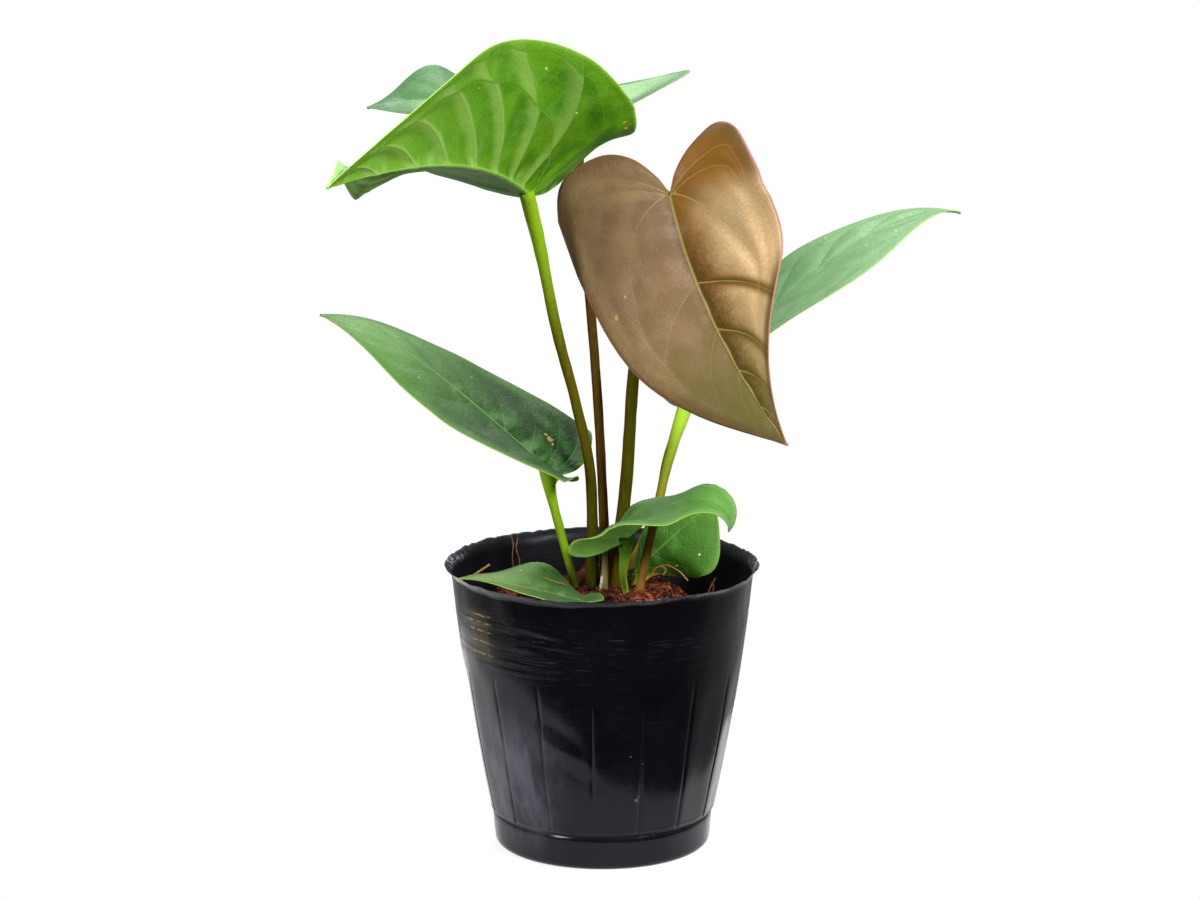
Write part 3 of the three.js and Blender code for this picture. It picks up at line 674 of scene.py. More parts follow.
def vein_room(fields):
    """Distance in millimetres to the nearest main vein."""
    lateral = fields["lateral"]
    beside = np.abs((lateral + 0.5) % 1 - 0.5) * fields["gap"]
    beside = np.where(lateral > 0.5, beside, FAR)
    lobe_vein = np.where(lateral < 1, np.abs(fields["lobe_vein"]), FAR)
    rest = [np.abs(fields[key]) for key in ("inner", "outer", "flat_y")]
    return np.minimum.reduce([beside, lobe_vein, *rest]), beside


def leaf_piece(name, leaf, materials, slot):
    """A leaf blade that swells between its veins, with its midrib and side veins raised below."""
    points, faces, fields = leaf_sheet(leaf)
    normals = sheet_normals(points, faces)
    room, beside = vein_room(fields)
    scale = SMALL_RELIEF if leaf.get("small") else 1.0
    across = fields["across"]
    inside = 1 - np.clip(across, 0, 1) ** PUFF_END_POWER
    puff = leaf["puff"] * (1 - np.exp(-(room / (PUFF_REACH * scale)) ** 2)) * inside
    between = np.abs(fields["lateral"] % 1 - 0.5) * fields["gap"]
    within = ease((fields["lateral"] - 0.5) / 0.5) * ease(-fields["inner"] / 3)
    puff -= leaf.get("small_puff", 0) * np.exp(-(between / SMALL_PUFF_REACH) ** 2) * within
    puff *= np.where(fields["flat_y"] < 0, leaf.get("calm_right", 1.0), 1.0)
    points = points + normals * (puff + layered_noise(points, CRINKLES) * inside)[:, None]
    way = np.clip(fields["flat_x"] / leaf["length"], 0, 1)
    rib = np.exp(-(fields["flat_y"] / (MIDRIB_WIDTH * scale)) ** 2) * (MIDRIB_TAPER - way) * scale
    long_vein = np.minimum(np.abs(fields["inner"]), np.abs(fields["outer"]))
    basal = np.exp(-(long_vein / LONG_VEIN_WIDTH) ** 2)
    side_veins = np.exp(-(beside / SIDE_VEIN_WIDTH) ** 2) + basal
    side_veins = side_veins * (1 - SIDE_VEIN_TAPER * across) * scale
    thickness = BLADE + (BLADE_EDGE - BLADE) * ease((across - THIN_FROM) / (1 - THIN_FROM))
    upper = points + normals * (thickness / 2 + MIDRIB_ABOVE * rib)[:, None]
    lower = points - normals * (thickness / 2 + MIDRIB_BELOW * rib + SIDE_VEIN_BELOW * side_veins)[:, None]
    count = len(points)
    below = [[corner + count for corner in reversed(face)] for face in faces]
    rim = rim_faces(faces, count)
    attributes = {key: np.tile(values, 2) for key, values in fields.items()}
    piece = make_mesh(f"{name}_blade", np.vstack([upper, lower]), faces + below + rim, attributes)
    dress(piece, materials, slot, name)
    places = np.zeros(len(piece.data.polygons), np.int32)
    places[len(faces):len(faces) + len(below)] = 1
    piece.data.polygons.foreach_set("material_index", places)


# Leaf materials

def srgb(red, green, blue):
    """A linear colour from 8-bit sRGB values."""
    return tuple(((value / 255 + 0.055) / 1.055) ** 2.4 for value in (red, green, blue))


LOOK_COLOURS = ("main", "shade", "tip", "edge", "vein", "margin", "sheen")


def side_look(*colours, **more):
    return dict(zip(LOOK_COLOURS, colours), **more)


# Each leaf's upper side and underside. main and shade mottle the blade, which turns to the tip colour at
# its tip and to the edge colour near its edge. margin is the very edge, and sheen a painted sheen in
# patches.
# line is how clearly the side veins show, and net the mesh between them. other is the left half's colour:
# a painted sheen on the rear leaf, and a golden hue with painted shade on the bronze leaf. band is the
# colour of painted highlights in strips beside the side veins, bulge that of a painted highlight on what
# swells between them, dark how much painted shade darkens the valleys, worn that of a damaged edge, glow
# painted light that the blade gives off for light that comes through, and rough_grain the height of the fine
# grain.
LOOKS = {
    "leaf_top": (
        side_look(
            (124, 172, 84), (108, 158, 68), (164, 206, 156), (124, 176, 84), (150, 190, 96),
            (168, 200, 110), (186, 222, 176), line=0.3, glow=0.2,
        ),
        side_look(
            (78, 128, 6), (54, 108, 2), (100, 150, 36), (82, 132, 8), (126, 172, 70), (122, 164, 50),
            # band is the colour of a painted highlight on the pleats.
            (120, 166, 74), band=(134, 168, 80), line=0.5, glow=0.08,
        ),
    ),
    "leaf_rear": (
        side_look(
            (56, 104, 52), (44, 92, 44), (76, 124, 64), (66, 120, 66), (130, 170, 130), (110, 150, 80),
            # The left half's mint colour is a painted sheen.
            (112, 150, 116), line=0.4, other=(142, 192, 128),
        ),
        side_look(
            (152, 206, 136), (138, 194, 122), (160, 206, 146), (156, 210, 140), (176, 220, 160),
            (140, 160, 90), (176, 220, 168), line=0.35,
        ),
    ),
    "leaf_bronze": (
        side_look(
            (152, 122, 86), (136, 106, 74), (128, 124, 58), (116, 88, 54), (182, 164, 88), (172, 112, 98),
            # The left half's golden colour carries painted shade, bulge is a painted highlight and dark the
            # strength of painted shade.
            (160, 130, 106), other=(138, 91, 30), line=0.7, net=0.18, dark=0.85, bulge=(208, 174, 126),
            rough_grain=0.12,
        ),
        side_look(
            (110, 110, 50), (96, 96, 44), (120, 120, 50), (110, 100, 50), (150, 140, 66), (150, 84, 70),
            (120, 120, 70),
        ),
    ),
    "leaf_right": (
        # The upper side's pale mint colours hold painted sheen.
        side_look(
            (138, 194, 126), (126, 182, 112), (108, 158, 96), (124, 180, 100), (140, 190, 120),
            (150, 186, 84), (152, 194, 146), line=0.25,
        ),
        side_look(
            (84, 140, 70), (70, 126, 58), (130, 190, 110), (110, 170, 90), (140, 180, 100), (150, 170, 60),
            (120, 170, 110), glow=0.08,
        ),
    ),
    "leaf_left": (
        side_look(
            (28, 70, 12), (18, 54, 6), (96, 140, 70), (64, 112, 34), (96, 136, 72), (120, 148, 44),
            (84, 124, 74), line=0.2,
        ),
        side_look(
            (70, 116, 34), (58, 104, 26), (100, 144, 50), (80, 126, 40), (120, 156, 60), (130, 150, 50),
            (90, 136, 60), glow=0.08,
        ),
    ),
    "leaf_small_front": (
        side_look(
            (82, 128, 60), (70, 116, 50), (84, 136, 50), (104, 152, 84), (116, 156, 70), (140, 170, 66),
            (98, 142, 78), line=0.3,
        ),
        side_look(
            (96, 140, 60), (84, 126, 50), (100, 146, 60), (108, 150, 74), (96, 140, 40), (140, 170, 60),
            (110, 150, 76), line=0.3, glow=0.4,
        ),
    ),
    "leaf_old_low": (
        side_look(
            (58, 108, 24), (44, 92, 16), (78, 130, 40), (82, 132, 40), (110, 150, 60), (130, 160, 60),
            (96, 146, 66), line=0.3, worn=(186, 140, 40),
        ),
        side_look(
            (70, 124, 30), (56, 110, 22), (88, 142, 44), (92, 146, 44), (110, 150, 50), (130, 150, 50),
            (90, 140, 56), line=0.3, worn=(186, 140, 40), glow=0.12,
        ),
    ),
    "leaf_rim": (
        side_look(
            (46, 88, 26), (36, 76, 18), (108, 142, 60), (60, 104, 36), (112, 152, 70), (140, 170, 70),
            (78, 118, 58), line=0.25,
        ),
        side_look(
            (64, 116, 30), (52, 104, 24), (130, 160, 70), (80, 130, 40), (104, 146, 56), (140, 170, 66),
            (86, 134, 54), line=0.25, glow=0.1,
        ),
    ),
}

# Small scars and specks: place on the flat blade, radius and colour
MARKS = {
    "leaf_top_under": (
        (-8.5, 47.5, 0.8, (206, 150, 40)), (-14, 46.5, 1.0, (214, 176, 70)),
        (-11.5, 49, 0.6, (196, 120, 30)), (12, 36, 0.5, (176, 190, 90)),
        (30, 44, 0.5, (170, 186, 84)), (58, 30, 0.4, (168, 186, 90)),
    ),
    "leaf_left_upper": (
        (8, -15, 1.5, (212, 178, 130)), (10.4, -16, 0.8, (206, 166, 110)), (6, -13.6, 0.7, (216, 186, 140)),
        (48, -18, 0.4, (150, 170, 130)), (66, 12, 0.4, (150, 170, 130)),
    ),
    "leaf_right_upper": (
        (97, -10.3, 0.7, (196, 206, 110)), (110, -12.8, 0.6, (200, 206, 110)),
        (113.6, -4.2, 0.6, (196, 200, 110)), (61, -12.1, 0.6, (190, 200, 110)),
        (90.5, 27.8, 0.6, (190, 206, 120)), (95.5, 22.7, 0.6, (190, 206, 120)),
    ),
    "leaf_bronze_upper": ((32.4, -41.9, 0.9, (196, 160, 96)), (28, -34, 0.7, (190, 156, 96))),
    "leaf_old_low_upper": ((21.1, -12.8, 0.5, (214, 196, 120)), (11.2, -10, 0.5, (206, 186, 110))),
    "leaf_rim_upper": ((24, -12, 0.6, (150, 120, 60)), (30, -9, 0.4, (140, 110, 60))),
}


# Browns of the painted shade in the bronze leaf's valleys and of the lines along its midrib's edges.
VALLEY_SHADE_BROWN = srgb(84, 58, 8)
RIB_BROWN = srgb(84, 66, 20)
MIDRIB_SHARE = 0.75


class BladeNodes(Nodes):
    """A blade's nodes, with its fields and the noises that several steps share."""

    def __init__(self, name, leaf):
        super().__init__(bpy.data.materials.new(name))
        self.size = SMALL_PATTERN if leaf.get("small") else 1.0
        self.length = leaf["length"]
        self.x, self.y = self.attribute("flat_x"), self.attribute("flat_y")
        for key in ("lateral", "across", "inner", "outer", "margin"):
            setattr(self, key, self.attribute(key))
        self.flat = self.combine(self.x, self.y)
        self.ahead = self.math("GREATER_THAN", self.lateral, 0.5)
        self.beside = self.times(self.math("PINGPONG", self.lateral, 0.5), self.attribute("gap"))
        self.patches = self.noise(self.flat, 0.07 / self.size, 4)
        self.grain = self.remap(self.noise(self.flat, 0.55 / self.size, 3), 0.35, 0.7)

    def line(self, distance, half_width):
        """1 along a vein and 0 beside it."""
        return self.fade(self.absolute(distance), self.times(half_width, 0.3), half_width)


def mottled(n, colours):
    """The blade's own colour, with its tip and its edge, for some leaves a left half coloured apart, and
    patches of painted sheen.
    """
    colour = n.mix(n.remap(n.patches, 0.38, 0.62), colours["main"], colours["shade"])
    # The left half's colour holds painted light: a painted sheen on the rear leaf, and painted shade with a
    # golden hue on the bronze leaf.
    if "other" in colours:
        colour = n.mix(n.remap(n.y, -1.0, 1.5), colour, colours["other"])
    way = n.add_times(n.patches, 0.4 * n.length, n.x)
    colour = n.mix(n.remap(way, 0.45 * n.length, 1.2 * n.length), colour, colours["tip"])
    to_edge = n.fade(n.add_times(n.grain, -1.5 * n.size, n.margin), 0.5 * n.size, 9 * n.size)
    colour = n.mix(n.times(to_edge, 0.8), colour, colours["edge"])
    # Painted sheen in patches, strongest near the midrib.
    sheen_patches = n.remap(n.noise(n.combine(n.x, n.times(n.y, 0.5)), 0.11 / n.size, 5, 0.6), 0.48, 0.66)
    near_rib = n.fade(n.absolute(n.y), 1.0 * n.size, 12 * n.size, 0.25)
    return n.mix(n.times(sheen_patches, near_rib, 0.7), colour, colours["sheen"])


def pleat_light_and_shade(n, colour, colours):
    """Painted highlights in strips beside the side veins, where light catches the pleats, and painted shade
    in lines along the long veins.
    """
    turn = n.math("FRACT", n.math("ADD", n.lateral, n.times(n.math("SUBTRACT", n.patches, 0.5), 0.25)))
    pleat = n.most(n.fade(turn, 0.08, 0.34), n.remap(turn, 0.86, 0.97))
    ring = n.times(n.remap(n.inner, -0.6, 0.6), n.fade(turn, 0.1, 0.5))
    outside = n.fade(n.outer, -0.5, 0.5, 0.15)
    band = n.most(n.times(pleat, n.fade(n.inner, -0.4, 0.4)), ring)
    colour = n.mix(n.times(band, outside, n.remap(n.lateral, 0.3, 0.7), 0.5), colour, colours["band"])
    # Painted shade in lines along the long veins.
    rim = n.most(n.line(n.inner, 0.8), n.line(n.outer, 0.8))
    return n.mix(n.times(rim, n.remap(n.lateral, 0.0, 0.8), 0.6), colour, colours["shade"])


def swell_light_and_shade(n, colour, bulge_colour, dark):
    """Painted highlights on the left half's swellings, painted shade in its valleys and a brown midrib edge.
    """
    # Painted highlight on the swellings between the side veins.
    swell = n.add_times(n.patches, 14.0, n.y)
    rough = n.remap(n.grain, 0.0, 1.0, 0.88, 1.0)
    bulge = n.times(n.remap(swell, 10.0, 34.0), n.remap(n.x, -6.0, 14.0), rough)
    clear = n.most(n.remap(n.beside, 0.6, 4.0), n.math("SUBTRACT", 1.0, n.ahead))
    colour = n.mix(n.times(bulge, clear), colour, bulge_colour)
    # Painted shade in the valleys beside the side veins, by the midrib and near the low edge.
    valley_shade = n.times(n.fade(n.beside, 0.2, 2.6), n.ahead, n.remap(n.across, 0.3, 0.95, 0.9, 0.35))
    beside_rib = n.times(n.fade(n.add_times(n.grain, 5.0, n.y), 2.0, 19.0), n.remap(n.x, 8.0, 34.0))
    low_edge = n.times(n.fade(n.margin, 2.0, 6.0), n.remap(n.x, 38.0, 60.0))
    valley_shade = n.most(valley_shade, n.most(beside_rib, low_edge))
    valley_shade = n.times(valley_shade, n.remap(n.y, 0.0, 1.5), n.fade(n.x, 0.7 * n.length, n.length, 0.3))
    colour = n.mix(n.times(valley_shade, dark), colour, VALLEY_SHADE_BROWN)
    rib_edge = n.times(n.remap(n.absolute(n.y), 0.55, 0.75), n.fade(n.absolute(n.y), 0.8, 1.3))
    return n.mix(n.times(rib_edge, 0.7), colour, RIB_BROWN)


def vein_shares(n, dark):
    """How much of a side vein and of the midrib there is at each place."""
    laterals = n.times(n.line(n.beside, n.times(n.add_times(n.across, -0.5, 1.0), 0.55 * n.size)), n.ahead)
    outer = n.times(n.line(n.outer, 0.42 * n.size), 0.7)
    basal = n.times(n.most(n.line(n.inner, 0.5 * n.size), outer), n.fade(n.lateral, 1.0, 2.5, 0.5))
    lobe_vein = n.line(n.attribute("lobe_vein"), 0.42 * n.size)
    basal = n.most(basal, n.times(lobe_vein, n.fade(n.lateral, -1.4, -0.4), 0.8))
    side_veins = n.times(n.most(laterals, basal), n.fade(n.across, 0.0, 0.9, 0.45))
    if dark:
        faint = n.remap(n.y, -1.0, 1.0, 0.4, 0.9)
        near = n.fade(n.math("ADD", n.absolute(n.x), n.absolute(n.y)), 6.0, 40.0)
        side_veins = n.times(side_veins, n.most(faint, near))
    return side_veins, n.line(n.y, n.remap(n.x, 0.0, n.length, 1.25 * n.size, 0.4 * n.size, smooth=False))


def blade_material(name, leaf, look, under):
    """One side of a blade: mottled colour, painted sheen, veins, a fine net between them and a paler edge.
    """
    n = BladeNodes(name, leaf)
    colours = {key: srgb(*value) for key, value in look.items() if isinstance(value, tuple)}
    dark = look.get("dark")
    colour = mottled(n, colours)
    if "band" in colours:
        colour = pleat_light_and_shade(n, colour, colours)
    if dark:
        colour = swell_light_and_shade(n, colour, colours["bulge"], dark)
    net = n.fade(n.cell_edges(n.flat, 0.42 / n.size), 0.0, 0.07)
    colour = n.mix(n.times(net, look.get("net", 0.12)), colour, colours["shade" if dark else "vein"])
    side_veins, rib = vein_shares(n, dark)
    veins = n.most(n.times(side_veins, look.get("line", 0.5)), n.times(rib, MIDRIB_SHARE))
    colour = n.mix(veins, colour, colours["vein"])
    if "worn" in colours:
        worn = n.times(n.fade(n.margin, 0.8, 3.6), n.fade(n.x, 6.0, 20.0), n.remap(n.patches, 0.25, 0.45))
        colour = n.mix(worn, colour, colours["worn"])
    colour = n.mix(n.fade(n.margin, 0.25 * n.size, 0.8 * n.size), colour, colours["margin"])
    for at_x, at_y, radius, tint in MARKS.get(name, ()):
        off = n.distance(n.math("SUBTRACT", n.x, at_x), n.math("SUBTRACT", n.y, at_y))
        near = n.add_times(n.noise(n.flat, 0.9, 3), 1.6 * radius, off)
        colour = n.mix(n.fade(near, 1.5 * radius, 1.9 * radius), colour, srgb(*tint))
    relief = n.math("SUBTRACT", n.times(n.grain, look.get("rough_grain", 0.18)), n.times(net, 0.25))
    relief = n.math("ADD", relief, n.times(n.most(side_veins, rib), 0.7 if under else -0.7))
    # The blade gives off a faint glow, painted light that stands in for light coming through it.
    return n.finish(
        Base_Color=colour, Roughness=0.45, Specular_IOR_Level=0.25, Normal=n.bump(relief, 0.00035, 0.6),
        Emission_Color=colour, Emission_Strength=look.get("glow", 0.02),
    )


LEAF_SLOTS = dict(
    leaf_top="leaf_fresh", leaf_rear="leaf_pale", leaf_bronze="leaf_bronze", leaf_right="leaf_mid",
    leaf_left="leaf_dark", leaf_small_front="leaf_young", leaf_old_low="leaf_young", leaf_rim="leaf_young",
)


def leaf_pieces():
    for name, leaf in LEAVES.items():
        materials = [
            blade_material(f"{name}_{side}", leaf, look, under=side == "under")
            for side, look in zip(("upper", "under"), LOOKS[name])
        ]
        leaf_piece(name, leaf, materials, LEAF_SLOTS[name])


# Stalks and the new shoot

STALK_SIDES = 24
STALK_RINGS = 90
STALK_REACH = 26
STALK_MARGIN = 10
BLADE_CLEARANCE = 0.5
STALK_BREACH = 3.5
SHOOT_RINGS = 40
SHOOT_SIDES = 20
# A direction that no tube starts along
TUBE_ASIDE = (0.3, 1, 0.1)
# Each stalk's slot, its colour at the foot, in the middle and at the top, the colour of its left edge and
# how much that shows, and for one stalk how much farther up the foot's colour reaches
STALK_LOOKS = {
    "petiole_top": ("petiole_green", (50, 54, 1), (74, 68, 1), (122, 160, 20), (70, 44, 2), 0.8),
    "petiole_rear": ("petiole_brown", (78, 54, 3), (72, 49, 1), (72, 54, 2), (50, 30, 2), 0.5),
    "petiole_bronze": ("petiole_olive", (76, 60, 1), (66, 67, 0), (74, 76, 1), (76, 46, 1), 0.7),
    "petiole_right": (
        "petiole_brown", (128, 92, 38), (106, 114, 14), (150, 190, 50), (104, 72, 26), 0.3, 0.2,
    ),
    "petiole_left": ("petiole_green", (84, 60, 30), (112, 146, 20), (128, 166, 30), (90, 66, 24), 0.4),
    "petiole_small_front": (
        "petiole_green", (150, 170, 70), (110, 144, 40), (74, 116, 30), (90, 84, 20), 0.2,
    ),
    "petiole_old_low": ("petiole_green", (90, 96, 20), (110, 140, 30), (120, 160, 40), (90, 80, 20), 0.2),
    "petiole_rim": ("petiole_green", (90, 100, 20), (100, 140, 26), (110, 150, 30), (90, 80, 20), 0.2),
}


def tube(path, radii, sides, waver=0.0, seed=0):
    """Points, faces and the way along and outward side of a closed tube round a path."""
    path = np.asarray(path, float)
    tangents = unit(np.gradient(path, axis=0))
    normal = unit(np.cross(tangents[0], TUBE_ASIDE))
    points, faces, outward = [], [], []
    count = len(path)
    turns = 2 * np.pi * np.arange(sides) / sides
    for i, (centre, tangent) in enumerate(zip(path, tangents)):
        normal = unit(normal - tangent * (normal @ tangent))
        side = np.cross(tangent, normal)
        ring = np.cos(turns)[:, None] * normal + np.sin(turns)[:, None] * side
        points.append(centre + ring * radii[i])
        outward.append(ring)
    points = np.vstack(points)
    outward = np.vstack(outward)
    if waver:
        points = points + outward * (waver * smooth_noise(points, 5, seed))[:, None]
    for i in range(count - 1):
        faces += ring_faces(i * sides, (i + 1) * sides, sides)
    faces.append(list(range(sides))[::-1])
    faces.append([(count - 1) * sides + side for side in range(sides)])
    return points, faces, np.repeat(np.linspace(0, 1, count), sides), outward


def eased_radii(radii, count):
    place = np.linspace(0, 1, count) * (len(radii) - 1)
    first = np.minimum(place.astype(int), len(radii) - 2)
    radii = np.array(radii, float)
    return radii[first] + (radii[first + 1] - radii[first]) * ease(place - first)


STRAW = (1.0, 0.9, 0.05)


def stalk_material(name, foot, middle, top, edge, edge_share, rise=0.0):
    n = Nodes(bpy.data.materials.new(name))
    along = n.attribute("along")
    streaks = n.noise(n.place((900, 900, 90)), 1.0, 4, 0.6)
    colour = n.mix(n.remap(along, 0.08 + rise, 0.45 + rise), srgb(*foot), srgb(*middle))
    colour = n.mix(n.remap(along, 0.6, 0.95), colour, srgb(*top))
    paler = n.mix(0.25, colour, STRAW)
    colour = n.mix(n.times(n.remap(streaks, 0.45, 0.75), 0.12), colour, paler)
    left = n.times(n.fade(n.attribute("side"), -0.95, -0.35), edge_share)
    colour = n.mix(n.times(left, n.fade(along, 0.55, 0.95)), colour, srgb(*edge))
    specks = n.remap(n.noise(n.place((700, 700, 350)), 1.0, 2, 0.5), 0.6, 0.72)
    colour = n.mix(n.times(specks, 0.3), colour, srgb(*edge))
    return n.finish(
        Base_Color=colour, Roughness=0.5, Specular_IOR_Level=0.05, Normal=n.bump(streaks, 0.0002, 0.4),
    )


def held_below(points, leaf):
    """Moves points of a stalk that come just out of the upper side of its blade back under the blade."""
    sheet, faces, _ = leaf_sheet(leaf)
    normals = sheet_normals(sheet, faces)
    near = np.linalg.norm(sheet - np.array(leaf["at"]), axis=1) < STALK_REACH + STALK_MARGIN
    sheet, normals = sheet[near], normals[near]
    moved = points.copy()
    for i in np.flatnonzero(np.linalg.norm(points - np.array(leaf["at"]), axis=1) < STALK_REACH):
        offsets = points[i] - sheet
        closest = np.argmin((offsets ** 2).sum(1))
        above = offsets[closest] @ normals[closest] + BLADE_CLEARANCE
        if above > 0 and np.linalg.norm(offsets[closest]) < STALK_BREACH:
            moved[i] -= above * normals[closest]
    return moved


def stalk_pieces():
    for name, stalk in STALKS.items():
        leaf = LEAVES[stalk["leaf"]]
        seat = midrib_frame(leaf, np.array([float(STALK_SEAT)]))[0]
        path = curve_points([*stalk["path"], seat[0]], STALK_RINGS)
        radii = eased_radii(stalk["radii"], STALK_RINGS)
        points, faces, along, outward = tube(path, radii, STALK_SIDES, waver=0.12, seed=3)
        points = held_below(points, leaf)
        slot, *looks = STALK_LOOKS[name]
        piece = make_mesh(f"{name}_stalk", points, faces, {"along": along, "side": outward[:, 0]})
        dress(piece, [stalk_material(f"{name}_skin", *looks)], slot, name)


def shoot_material():
    n = Nodes(bpy.data.materials.new("shoot_sheath"))
    along = n.attribute("along")
    fibres = n.noise(n.place((1400, 1400, 120)), 1.0, 4, 0.6)
    colour = n.mix(n.remap(along, 0.1, 0.7), srgb(122, 106, 44), srgb(92, 80, 20))
    colour = n.mix(n.remap(along, 0.82, 1.0), colour, srgb(84, 56, 20))
    colour = n.mix(n.times(n.remap(fibres, 0.5, 0.7), 0.4), colour, srgb(84, 66, 24))
    return n.finish(Base_Color=colour, Roughness=0.5, Normal=n.bump(fibres, 0.0004, 0.5))


def shoot_piece():
    path = curve_points(SHOOT["path"], SHOOT_RINGS)
    radii = eased_radii(SHOOT["radii"], SHOOT_RINGS)
    points, faces, along, outward = tube(path, radii, SHOOT_SIDES, waver=0.1, seed=5)
    piece = make_mesh("new_shoot_sheath", points, faces, {"along": along, "side": outward[:, 0]})
    dress(piece, [shoot_material()], "shoot_sheath", "new_shoot")


# Pot

POT_COLUMNS = 432
# How far the columns gather at the ribs, from 0 for even spacing
COLUMN_GATHER = 0.4
# The inside of the film keeps one row in this many
INSIDE_ROW_STEP = 3
# Height kept free for the lip's ragged edge
LIP_ROOM = 0.6
PANEL_DEPTH = 0.5
FOOT_BULGE = 2.4
FOOT_ROUNDING = 3
# Depth and height of each row of the groove over the skirt
SKIRT_GROOVE = ((0.35, 13.2), (0.6, 13.8), (0.2, 14.4))
WALL_FOOT = 15.2
RIB_FOOT = 14.6
# Heights over which the ribs grow at the foot and fade at the top
RIB_FADES = (1.5, 16)
# Where the lip starts to be ragged, and the height over which that grows
RAGGED_FROM = 109
RAGGED_RISE = 5
RINGS_FROM = 79
RINGS_TO = 103
# Spacing of the rows below and above ROWS_CLOSE_FROM
ROW_STEPS = (0.9, 0.45)
ROWS_CLOSE_FROM = 80
DRAIN_CIRCLE = 30
DRAIN_RADIUS = 4
# Circles of points on the pot's floor, where the drain holes lie between the first two
FLOOR_RADII = (34, 26, 1)


def wall_radius(z):
    share = (z - SKIRT_HEIGHT) / (WALL_TOP - SKIRT_HEIGHT)
    return WALL_FOOT_RADIUS + (WALL_TOP_RADIUS - WALL_FOOT_RADIUS) * (share + 0.1 * np.sin(np.pi * share))


def lip_waver(angle):
    return 0.35 * np.sin(5 * angle + 1) + 0.25 * np.sin(11 * angle) + 0.2 * np.sin(23 * angle + 2)


def pot_rows():
    """Radius and height of the outside from the foot to the lip."""
    turn = np.linspace(0, np.pi / 2, 7)
    foot = np.stack([FOOT_RADIUS + FOOT_BULGE * np.sin(turn), FOOT_ROUNDING * (1 - np.cos(turn))], -1)
    skirt = np.linspace((FOOT_RADIUS + 2.5, 4.5), (SKIRT_RADIUS, SKIRT_HEIGHT), 6)
    groove = np.array([(SKIRT_RADIUS - depth, height) for depth, height in SKIRT_GROOVE])
    stops = (WALL_FOOT, ROWS_CLOSE_FROM, WALL_TOP)
    heights = np.concatenate([np.arange(*span) for span in zip(stops[:-1], stops[1:], ROW_STEPS)])
    wall = np.stack([wall_radius(heights), heights], -1)
    rise = np.linspace(0, 1, 9)[1:]
    lip_foot = wall_radius(WALL_TOP)
    lip_height = WALL_TOP + (POT_HEIGHT - WALL_TOP - LIP_ROOM) * rise
    lip = np.stack([lip_foot + (RIM_RADIUS - lip_foot) * rise ** 1.4, lip_height], -1)
    return np.vstack([foot, skirt, groove, wall, lip])


# Soft dents in the film: angle in degrees, height, half width, half height, depth and slant
DENTS = (
    (-112, 60, 9, 5, -0.5, 0.5), (-107, 50, 9, 4, 0.5, 0.55), (-103, 43, 9, 4.5, -0.45, 0.6),
    (-110, 35, 10, 5, 0.45, 0.5), (-60, 52, 6, 12, -0.4, 0.0), (-52, 30, 6, 14, 0.5, 0.1),
    (-128, 30, 8, 14, 0.5, -0.1), (-140, 45, 8, 16, -0.5, 0.1), (-114, 97, 10, 1.5, -0.4, 0.14),
    (-106, 92, 11, 1.2, -0.35, 0.1), (-98, 101, 12, 1.2, -0.35, -0.05), (-92, 96, 9, 1.0, -0.3, 0.1),
)


def dent(angles, height, angle, level, half_width, half_height, depth, slant):
    """How far a dent moves the wall out."""
    turn = (angles - math.radians(angle) + np.pi) % (2 * np.pi) - np.pi
    over = turn * wall_radius(level)
    rise = height - level + slant * over
    return depth * np.exp(-(over / half_width) ** 2 - (rise / half_height) ** 2)


def pot_grid():
    """Outside points of the film, in rows from the foot to the lip."""
    rows = pot_rows()
    pitch = 2 * np.pi / RIB_COUNT
    turn = 2 * np.pi * np.arange(POT_COLUMNS) / POT_COLUMNS
    angles = FRONT_RIB_ANGLE + turn - COLUMN_GATHER * np.sin(turn * RIB_COUNT) / RIB_COUNT
    radius, height = (np.repeat(rows[:, i:i + 1], POT_COLUMNS, axis=1) for i in (0, 1))
    off = (angles - FRONT_RIB_ANGLE + pitch / 2) % pitch - pitch / 2
    span = ease((height - RIB_FOOT) / RIB_FADES[0]) * ease((RIB_TOP - height) / RIB_FADES[1])
    groove = RIB_DEPTH * np.exp(-(off[None] * radius / RIB_HALF_WIDTH) ** 2) * span
    groove = groove + PANEL_DEPTH * np.sin(np.pi * off / pitch)[None] ** 2 * span
    banded = ease((height - RINGS_FROM) / 3) * ease((RINGS_TO - height) / 3)
    spots = turned(radius, angles, height).reshape(-1, 3)

    def noise(size, seed, stretch=(1, 1, 1)):
        return smooth_noise(spots * stretch, size, seed).reshape(radius.shape)

    ridges = 0.11 * noise(1.7, 16, (0.05, 0.05, 1)) * banded * (0.6 + 0.8 * noise(16, 15))
    upper = ease((height - 60) / 50)
    wobble = (0.3 + 0.25 * upper) * noise(24, 11)
    crease = 0.18 * noise(7, 12, (1, 1, 0.6)) * (0.5 + 0.7 * upper)
    dents = sum(dent(angles[None], height, *place) for place in DENTS)
    lip = ease((height - RAGGED_FROM) / RAGGED_RISE)
    ragged = noise(2.2, 13)
    fade = ease((height - 1.5) / 6)
    crumpled = 0.4 * lip_waver(angles + 2) + 0.18 * ragged + 0.15 * noise(4.5, 14)
    radius = radius - groove + ridges + (wobble + crease) * fade + dents + lip * crumpled
    return turned(radius, angles, height + lip * (0.5 * lip_waver(angles) + 0.3 * ragged))


